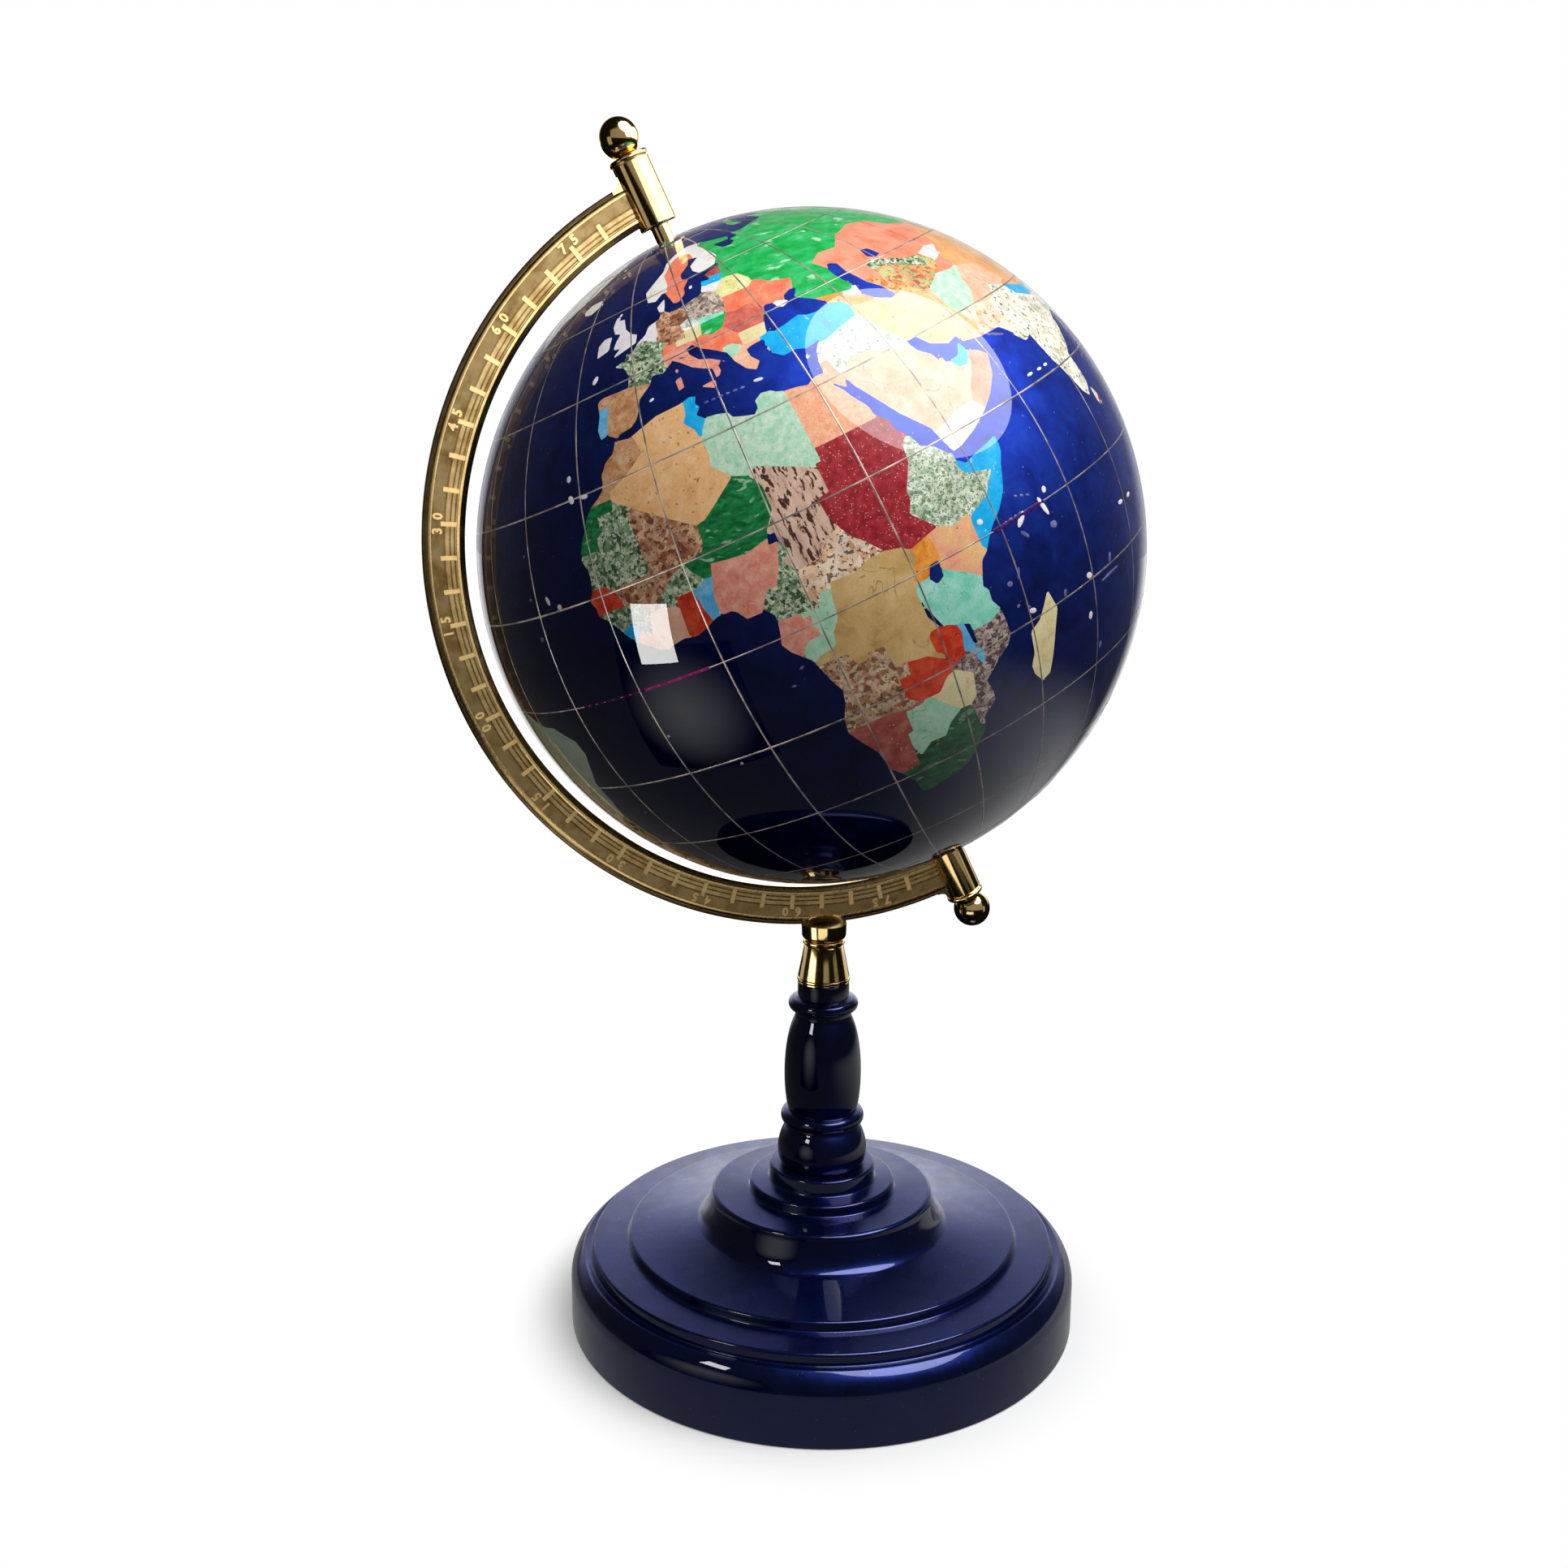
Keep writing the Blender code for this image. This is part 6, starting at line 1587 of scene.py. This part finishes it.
def mirror_card(name, place, target, size, glow, fade=None):
    """A glowing card that shows only in perfectly sharp reflections, such as a clear coat's."""
    work = bmesh.new()
    bmesh.ops.create_grid(work, x_segments=1, y_segments=1, size=0.5)
    work.transform(Matrix.Translation(place) @ aimed(place, target) @ Matrix.Diagonal((*size, 1.0, 1.0)))
    card = mesh_object(name, work)
    finish = Finish(name)
    sharp = finish.node("ShaderNodeLightPath").outputs["Is Singular Ray"]
    if fade:
        glow = finish.steps(finish.vectors("DISTANCE", finish.place, place), 0.0, fade, glow, 0.0)
    ghost(card, finish, sharp, glow)


def make_camera():
    """The camera, a little left of the globe and above its middle, looking down."""
    data = bpy.data.cameras.new("camera")
    data.sensor_width = 36.0
    data.lens = 35.96
    data.clip_start = 0.01
    camera = link(bpy.data.objects.new("camera", data))
    right = Vector((0.9730, -0.2307, 0.0043)).normalized()
    back = CAMERA_BACK.normalized()
    up = back.cross(right)
    camera.matrix_world = placed((-0.1370, -0.5136, 0.3010), up.cross(back), up, back)
    bpy.context.scene.camera = camera


def floor_glow(finish, sharp):
    """The floor's painted reflection, a glow that only glossy rays see: dim to the left, bright to the right
    and behind.
    """
    across = finish.node("ShaderNodeSeparateXYZ", ((0, finish.place),)).outputs["X"]
    reach = finish.vectors("LENGTH", finish.place)
    rise = finish.steps(across, 0.0, 0.45, 0.03, 1.05)
    near = finish.product(rise, finish.steps(reach, 0.18, 0.72, 0.85, 0.03))
    ahead = finish.vectors("DOT_PRODUCT", finish.place, (0.2316, 0.9728, 0.0))
    beyond = finish.product(finish.steps(finish.maths("DIVIDE", ahead, reach), 0.74, 0.94),
                            finish.steps(reach, 0.2, 0.9))
    left = finish.steps(across, -0.1, 0.4, 0.05, 0.02)
    glow = finish.maths("MAXIMUM", finish.maths("ADD", left, near), beyond)
    blurred = finish.product(finish.maths("SUBTRACT", 1.0, sharp), 0.005)
    return finish.glow(finish.maths("ADD", finish.product(sharp, glow), blurred))


def make_floor():
    """A wide pale floor, plain white to the camera away from the base."""
    work = bmesh.new()
    bmesh.ops.create_circle(work, cap_ends=True, segments=96, radius=6.0)
    floor = mesh_object("floor", work)
    finish = Finish("pale_floor")
    path = finish.node("ShaderNodeLightPath").outputs
    # Painted shade: to bounced light the floor is nearly black, so it hardly lights the underside of the
    # globe or the base from below.
    pale = finish.blend(path["Is Diffuse Ray"], (0.80, 0.80, 0.80, 1.0), (0.10, 0.10, 0.10, 1.0))
    finish.finish(pale, 0.6, Specular_IOR_Level=0.0)
    away = finish.steps(finish.vectors("LENGTH", finish.place), 0.088, 0.114, 0.25, 1.0)
    plain = finish.product(path["Is Camera Ray"], away)
    seen = finish.either(plain, finish.shader.outputs[0], finish.glow(1.0))
    mirrored = floor_glow(finish, path["Is Singular Ray"])
    set_material(floor, finish.surface(finish.either(path["Is Glossy Ray"], seen, mirrored)))


def make_flag():
    """A dark sheet over the base that only shows in distant reflections from above it: painted shade in the
    globe's mirror image of the base.
    """
    steps = 64
    inner, outer, level, nearest = scaled(20.0, 78.0, 51.5, 95.0)
    turns = [math.tau * step / steps for step in range(steps)]
    work = bmesh.new()
    rings = [[work.verts.new((radius * math.cos(turn), radius * math.sin(turn), level)) for turn in turns]
             for radius in (inner, outer)]
    for step in range(steps):
        after = (step + 1) % steps
        work.faces.new((rings[0][step], rings[1][step], rings[1][after], rings[0][after]))
    flag = mesh_object("base_flag", work)
    finish = Finish("base_flag")
    path = finish.node("ShaderNodeLightPath").outputs
    far = finish.product(path["Is Glossy Ray"], finish.maths("GREATER_THAN", path["Ray Length"], nearest))
    under = finish.node("ShaderNodeNewGeometry").outputs["Backfacing"]
    ghost(flag, finish, finish.product(far, finish.maths("SUBTRACT", 1.0, under)), 0.0)


def make_world():
    """White to the camera, soft to surfaces, and dark in front to anything glossy."""
    world = bpy.data.worlds.new("studio")
    bpy.context.scene.world = world
    world.use_nodes = True
    nodes = Nodes(world.node_tree)
    path = nodes.node("ShaderNodeLightPath").outputs
    way = nodes.node("ShaderNodeTexCoord").outputs["Generated"]
    ahead = nodes.vectors("DOT_PRODUCT", way, -CAMERA_BACK)
    strength = 0.38
    for ray, low, high, front, behind in (("Is Glossy Ray", 0.50, 0.95, 0.006, 2.2),
                                          ("Is Singular Ray", 0.74, 0.94, 0.05, 0.6)):
        strength = nodes.choose(path[ray], strength, nodes.steps(ahead, low, high, front, behind))
    strength = nodes.choose(path["Is Camera Ray"], strength, 1.0)
    back = world.node_tree.nodes["Background"]
    nodes.feed(back.inputs["Strength"], strength)
    nodes.feed(back.inputs["Color"], (1.0, 1.0, 1.0, 1.0))
    world.cycles.sampling_method = "NONE"


# The brass pieces, which have cards and strips of their own to mirror.
BRASS = ("meridian_arm_cast", "degree_scale", "top_ball_pin", "bottom_ball_pin", "ferrule_turned")


def make_lights():
    """A round key above on the right, a panel low on the left, and cards that only brass mirrors."""
    key_way = Vector((0.347, -0.428, 0.834)).normalized()
    key = area_light("key", CENTRE + key_way * 1.0, CENTRE, (1.06, 1.06), 15.5, "DISK")
    key.visible_glossy = False
    mirror = area_light("key_mirror", CENTRE + key_way * 0.97, CENTRE, (1.03, 1.03), 16.0, "DISK")
    mirror.visible_diffuse = False
    panel_way = Vector((-0.834, -0.452, -0.316)).normalized()
    panel = CENTRE + Vector((-0.2210, -0.1447, -0.0794))
    mirror_card("panel_card", panel, panel - panel_way, (0.0515, 0.071), 15.0)
    sheen_way = Vector((-0.640, -0.460, -0.615)).normalized()
    mirror_card("sheen_card", CENTRE + sheen_way * 0.31, CENTRE, (0.20, 0.20), 0.9, 0.11)
    wires = area_light("wire_light", CENTRE + Vector((-0.38, -0.26, -0.16)), CENTRE, (0.30, 0.30), 1.2)
    only_for(wires, ("graticule_wires",))
    wires.visible_diffuse = True
    glow = area_light("base_glow", (0.0, 0.0, 0.0005), (0.0, 0.0, 1.0), (0.46, 0.46), 0.085, "DISK")
    only_for(glow, ("base_turned",))
    brass_cards()


def brass_cards():
    """Cards in a ring about the stand that show in the brass only, bright ones and dim ones."""
    top = CENTRE + TOP_BARREL[1] * POLE
    low = CENTRE - BOTTOM_BARREL[1] * POLE
    neck = Vector((0.0, 0.0, FERRULE_FOOT + 8.0 * MM))
    arm = BRASS[:1]
    turned_brass = BRASS[4:]
    cards = (
        ("face_card", (0.30, -1.5, 0.60), (0.0, 0.0, 0.27), (0.90, 0.90), 2.4, BRASS[:2]),
        ("low_face_card", (0.11, -0.56, 0.05), (0.0, 0.0, 0.15), (0.50, 0.14), 0.06, BRASS[:2]),
        ("brass_fill", (0.0, -2.4, 0.6), (0.0, 0.0, 0.27), (7.0, 4.0), 0.30, BRASS[:4]),
        ("right_card", top + Vector((0.80, -0.27, 0.36)), top, (1.6, 0.70), 3.4, arm + BRASS[2:3]),
        ("left_card", top + Vector((-0.42, -0.19, -0.15)), top, (0.20, 0.30), 0.42, arm + BRASS[2:3]),
        ("low_card", low + Vector((-0.13, -0.22, -0.155)), low, (0.22, 0.18), 1.3, arm + BRASS[3:4]),
        ("boss_card", neck + Vector((-0.18, -0.07, -0.07)), neck, (0.09, 0.10), 3.0, arm),
        ("low_right_card", low + Vector((0.40, -0.20, -0.02)), low, (0.10, 0.20), 0.5, arm + BRASS[3:4]),
        ("strip_left", around(neck, -57.0), neck, (0.24, 0.26), 3.6, turned_brass),
        ("strip_far_left", around(neck, -118.0), neck, (0.20, 0.26), 0.55, turned_brass),
        ("strip_middle", around(neck, 12.0), neck, (0.17, 0.26), 0.30, turned_brass),
        ("strip_right", around(neck, 60.0), neck, (0.13, 0.26), 0.22, turned_brass),
        ("strip_far_right", around(neck, 132.0), neck, (0.26, 0.26), 0.80, turned_brass),
    )
    for name, place, target, size, glow, pieces in cards:
        light = area_light(name, place, target, size, glow * math.pi * size[0] * size[1])
        only_for(light, pieces)


def around(target, angle):
    """A place level with a target, turned to the right from the side that the camera is on."""
    turn = math.radians(-104.9 + angle)
    return target + 0.40 * Vector((math.cos(turn), math.sin(turn), 0.0))


def only_for(light, names):
    """Let a light show in the named pieces' reflections only."""
    light.visible_diffuse = False
    group = bpy.data.collections.new(light.name + "_receivers")
    for name in names:
        group.objects.link(bpy.data.objects[name])
    light.light_linking.receiver_collection = group


# ---------------------------------------------------------------- settings

class GlobeLook(bpy.types.PropertyGroup):
    """Colours and fine sizes that a user may change."""

    sea_colour: bpy.props.FloatVectorProperty(
        name="Sea", description="Colour of the lapis sea", subtype="COLOR", size=3, min=0.0, max=1.0,
        default=(0.008, 0.034, 0.36))
    lacquer_colour: bpy.props.FloatVectorProperty(
        name="Lacquer", description="Colour of the turned stand", subtype="COLOR", size=3, min=0.0, max=1.0,
        default=(0.0030, 0.0150, 0.14))
    brass_colour: bpy.props.FloatVectorProperty(
        name="Brass", description="Colour of bright brass", subtype="COLOR", size=3, min=0.0, max=1.0,
        default=(0.88, 0.62, 0.27))
    enamel_width: bpy.props.FloatProperty(
        name="Enamel width", description="Width of the pink stretch of the equator", unit="LENGTH",
        default=0.85 * MM, min=0.2 * MM, max=3.0 * MM)
    numeral_size: bpy.props.FloatProperty(
        name="Numeral size", description="Height of type for the ring's numbers", unit="LENGTH",
        default=4.2 * MM, min=1.0 * MM, max=5.0 * MM)


class GlobeWires(bpy.types.PropertyGroup):
    """Sizes of the wires on the sphere and the rungs on the ring."""

    wire_radius: bpy.props.FloatProperty(
        name="Wire radius", description="Radius of a wire before it is pressed flat", unit="LENGTH",
        default=0.31 * MM, min=0.1 * MM, max=2.0 * MM)
    equator_wire: bpy.props.FloatProperty(
        name="Equator wire", description="Radius of the equator's wire", unit="LENGTH",
        default=0.20 * MM, min=0.1 * MM, max=1.0 * MM)
    flatness: bpy.props.FloatProperty(
        name="Flatness", description="Thickness of a pressed wire against its width", default=0.4,
        min=0.1, max=1.0)
    proud: bpy.props.FloatProperty(
        name="Proud", description="How far a wire stands out of the stone", unit="LENGTH",
        default=0.05 * MM, min=0.0, max=0.09 * MM)
    polar_gap: bpy.props.FloatProperty(
        name="Polar gap", description="Angle between the pole and the end of a meridian wire",
        subtype="ANGLE", default=math.radians(4.5), min=0.0, max=math.radians(30.0))
    rung_step: bpy.props.FloatProperty(
        name="Rung step", description="Angle between two rungs on the ring", subtype="ANGLE",
        default=math.radians(5.0), min=math.radians(1.0), max=math.radians(30.0))
    rung_width: bpy.props.FloatProperty(
        name="Rung width", description="Width of a rung", unit="LENGTH", default=1.8 * MM,
        min=0.2 * MM, max=3.0 * MM)


# ---------------------------------------------------------------- operators

class GLOBE_OT_stage(bpy.types.Operator):
    """Sets up the camera, the pale floor and the studio light"""

    bl_idname = "globe.stage"
    bl_label = "Stage"

    def execute(self, context):
        context.scene.view_settings.view_transform = "Standard"
        make_camera()
        make_world()
        make_floor()
        make_flag()
        make_lights()
        return {"FINISHED"}


class GLOBE_OT_sphere(bpy.types.Operator):
    """Lays the stone map over the sphere"""

    bl_idname = "globe.sphere"
    bl_label = "Stone sphere"

    def execute(self, context):
        sphere = build_sphere(context.scene.globe_look)
        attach(sphere, "globe")
        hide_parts("globe")
        return {"FINISHED"}


class GLOBE_OT_graticule(bpy.types.Operator):
    """Sets the latitude and longitude wires into the sphere"""

    bl_idname = "globe.graticule"
    bl_label = "Graticule wires"

    def execute(self, context):
        sizes = context.scene.globe_wires
        values = {
            "Sphere radius": SPHERE_RADIUS, "Step": math.radians(GRATICULE_STEP),
            "Meridians": 360 // GRATICULE_STEP, "Parallels": 180 // GRATICULE_STEP - 1,
            "Polar gap": sizes.polar_gap, "Wire radius": sizes.wire_radius, "Flatness": sizes.flatness,
            "Proud": sizes.proud, "Equator wire": sizes.equator_wire,
            "Material": wire_material(),
        }
        wires = grow("graticule_wires", graticule_tree(), values, globe_place())
        smooth(wires, 60.0)
        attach(wires, "globe")
        return {"FINISHED"}


class GLOBE_OT_inlays(bpy.types.Operator):
    """Sets the small islands, the name strokes and the enamel bands into the sea"""

    bl_idname = "globe.inlays"
    bl_label = "Islets and strokes"

    def execute(self, context):
        look = context.scene.globe_look
        chance = random.Random(7)
        tree = sliver_tree()
        shell = stone_material("pearl")
        worn = stone_material("worn_shell")
        groups = (("islets", shell, sliver_marks(SLIVERS)),
                  ("worn_islets", worn, sliver_marks(DIM_SLIVERS)),
                  ("name_strokes", worn, name_marks(chance)))
        for name, stone, marks in groups:
            values = {"Thickness": 0.06 * MM, "Material": stone}
            piece = grow(name, tree, values, globe_place(), sliver_host(marks))
            smooth(piece, 60.0)
            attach(piece, "globe")
        # The stretch west of the bright pink band is the same enamel made darker. This is painted shade for
        # the side of the globe that faces away from the key light at rest.
        bands = (("equator_enamel", -14.2, -2.4, look.enamel_width, "A82878", "DC4CA4"),
                 ("dull_equator_enamel", -27.5, -14.2, 0.9 * look.enamel_width, "3A1440", "6A2A68"),
                 ("worn_equator_enamel", 43.6, 54.0, 1.5 * look.enamel_width, "1C0C50", "4A1866"))
        for name, west, east, width, dark, bright in bands:
            band = enamel_line(name, west, east, width)
            set_material(band, enamel_material(name, dark, bright))
            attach(band, "globe")
        return {"FINISHED"}


class GLOBE_OT_arm(bpy.types.Operator):
    """Casts the half ring with its barrels and boss"""

    bl_idname = "globe.arm"
    bl_label = "Meridian arm"

    def execute(self, context):
        look = context.scene.globe_look
        arm = make_arm()
        # The number track's brass is darker than the track's, a little from its rougher finish and mostly as
        # painted shade. The last brass is painted shade for the grooves, the rounded edges and the boss's
        # crown.
        set_material(arm, brass_material("edge_brass", look, 0.30, 0.95, 0.4, 0.1),
                     brass_material("track_brass", look, 0.34, 0.64, 0.9, 0.6),
                     brass_material("polished_brass", look, 0.11, 0.95, 0.2),
                     brass_material("number_track_brass", look, 0.38, 0.34, 0.9, 0.6),
                     brass_material("shadowed_brass", look, 0.30, 0.25, 0.9, 0.3))
        finish_arm(arm.data)
        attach(arm, "stand")
        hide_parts("meridian_arm")
        return {"FINISHED"}


class GLOBE_OT_scale(bpy.types.Operator):
    """Raises the degree rungs and the plain numbers on both faces of the ring"""

    bl_idname = "globe.scale"
    bl_label = "Degree scale"

    def execute(self, context):
        look = context.scene.globe_look
        sizes = context.scene.globe_wires
        step = sizes.rung_step
        rungs = 2 * int(math.radians(80.0) / step) + 1
        bright = brass_material("raised_brass", look, 0.36, 1.15, 0.05)
        tree = scale_tree()
        faces = []
        values = {
            "Rungs": rungs, "Step": step, "First": math.pi - 0.5 * (rungs - 1) * step,
            "Radius": 121.4 * MM, "Length": 5.8 * MM, "Width": sizes.rung_width,
            "Depth": RELIEF_DEPTH, "Material": bright,
        }
        for name, height in (("front_rungs", 1.62 * MM), ("back_rungs", -1.62 * MM)):
            faces.append(grow(name, tree, {**values, "Face": height}, ring_place()))
        faces += [numerals(look, False), numerals(look, True)]
        scale = smooth(join("degree_scale", faces), 30.0)
        set_material(scale, bright)
        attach(scale, "stand")
        return {"FINISHED"}


class GLOBE_OT_pins(bpy.types.Operator):
    """Turns the two ball-headed pivot pins"""

    bl_idname = "globe.pins"
    bl_label = "Pivot pins"

    def execute(self, context):
        brass = brass_material("ball_brass", context.scene.globe_look, 0.12, 0.95, 0.3)
        for name, node, ball, north in (("top_ball_pin", "top_pivot_pin", TOP_BALL, True),
                                        ("bottom_ball_pin", "bottom_pivot_pin", BOTTOM_BALL, False)):
            pin = smooth(turned(name, pin_profile(ball), 64, axis_place(north)))
            set_material(pin, brass)
            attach(pin, "stand")
            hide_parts(node)
        return {"FINISHED"}


class GLOBE_OT_stand(bpy.types.Operator):
    """Turns the ferrule, the stem and the base"""

    bl_idname = "globe.stand"
    bl_label = "Turned stand"

    def execute(self, context):
        look = context.scene.globe_look
        lacquer = lacquer_material(look)
        brass = brass_material("turned_brass", look, 0.13, 0.9, 0.3)
        for name, node, profile, steps, material, slot in (
                ("ferrule_turned", "ferrule", ferrule_profile(), 96, brass, "polished_brass"),
                ("stem_turned", "stem", stem_profile(), 96, lacquer, "navy_lacquer"),
                ("base_turned", "base", base_profile(), 192, lacquer, "navy_lacquer")):
            piece = smooth(turned(name, profile, steps))
            set_material(piece, material)
            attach(piece, "stand")
            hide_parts(node)
        return {"FINISHED"}


OPERATORS = (GLOBE_OT_stand, GLOBE_OT_arm, GLOBE_OT_scale, GLOBE_OT_pins, GLOBE_OT_sphere,
             GLOBE_OT_graticule, GLOBE_OT_inlays, GLOBE_OT_stage)


class GLOBE_PT_panel(bpy.types.Panel):
    """Lists the globe's pieces and settings"""

    bl_label = "Gemstone Desk Globe"
    bl_idname = "GLOBE_PT_panel"
    bl_space_type = "VIEW_3D"
    bl_region_type = "UI"
    bl_category = "Globe"

    def draw(self, context):
        for group in (context.scene.globe_look, context.scene.globe_wires):
            for name in group.__annotations__:
                self.layout.prop(group, name)
        for operator in OPERATORS:
            self.layout.operator(operator.bl_idname)


CLASSES = (GlobeLook, GlobeWires, *OPERATORS, GLOBE_PT_panel)


def register():
    """Register the add-on's classes and settings."""
    for cls in CLASSES:
        bpy.utils.register_class(cls)
    bpy.types.Scene.globe_look = bpy.props.PointerProperty(type=GlobeLook)
    bpy.types.Scene.globe_wires = bpy.props.PointerProperty(type=GlobeWires)


def unregister():
    """Take them away again."""
    del bpy.types.Scene.globe_wires
    del bpy.types.Scene.globe_look
    for cls in reversed(CLASSES):
        bpy.utils.unregister_class(cls)


def main():
    """Build every piece, in order."""
    register()
    bpy.ops.globe.stand()
    bpy.ops.globe.arm()
    bpy.ops.globe.scale()
    bpy.ops.globe.pins()
    bpy.ops.globe.sphere()
    bpy.ops.globe.graticule()
    bpy.ops.globe.inlays()
    bpy.ops.globe.stage()


if __name__ == "__main__":
    main()
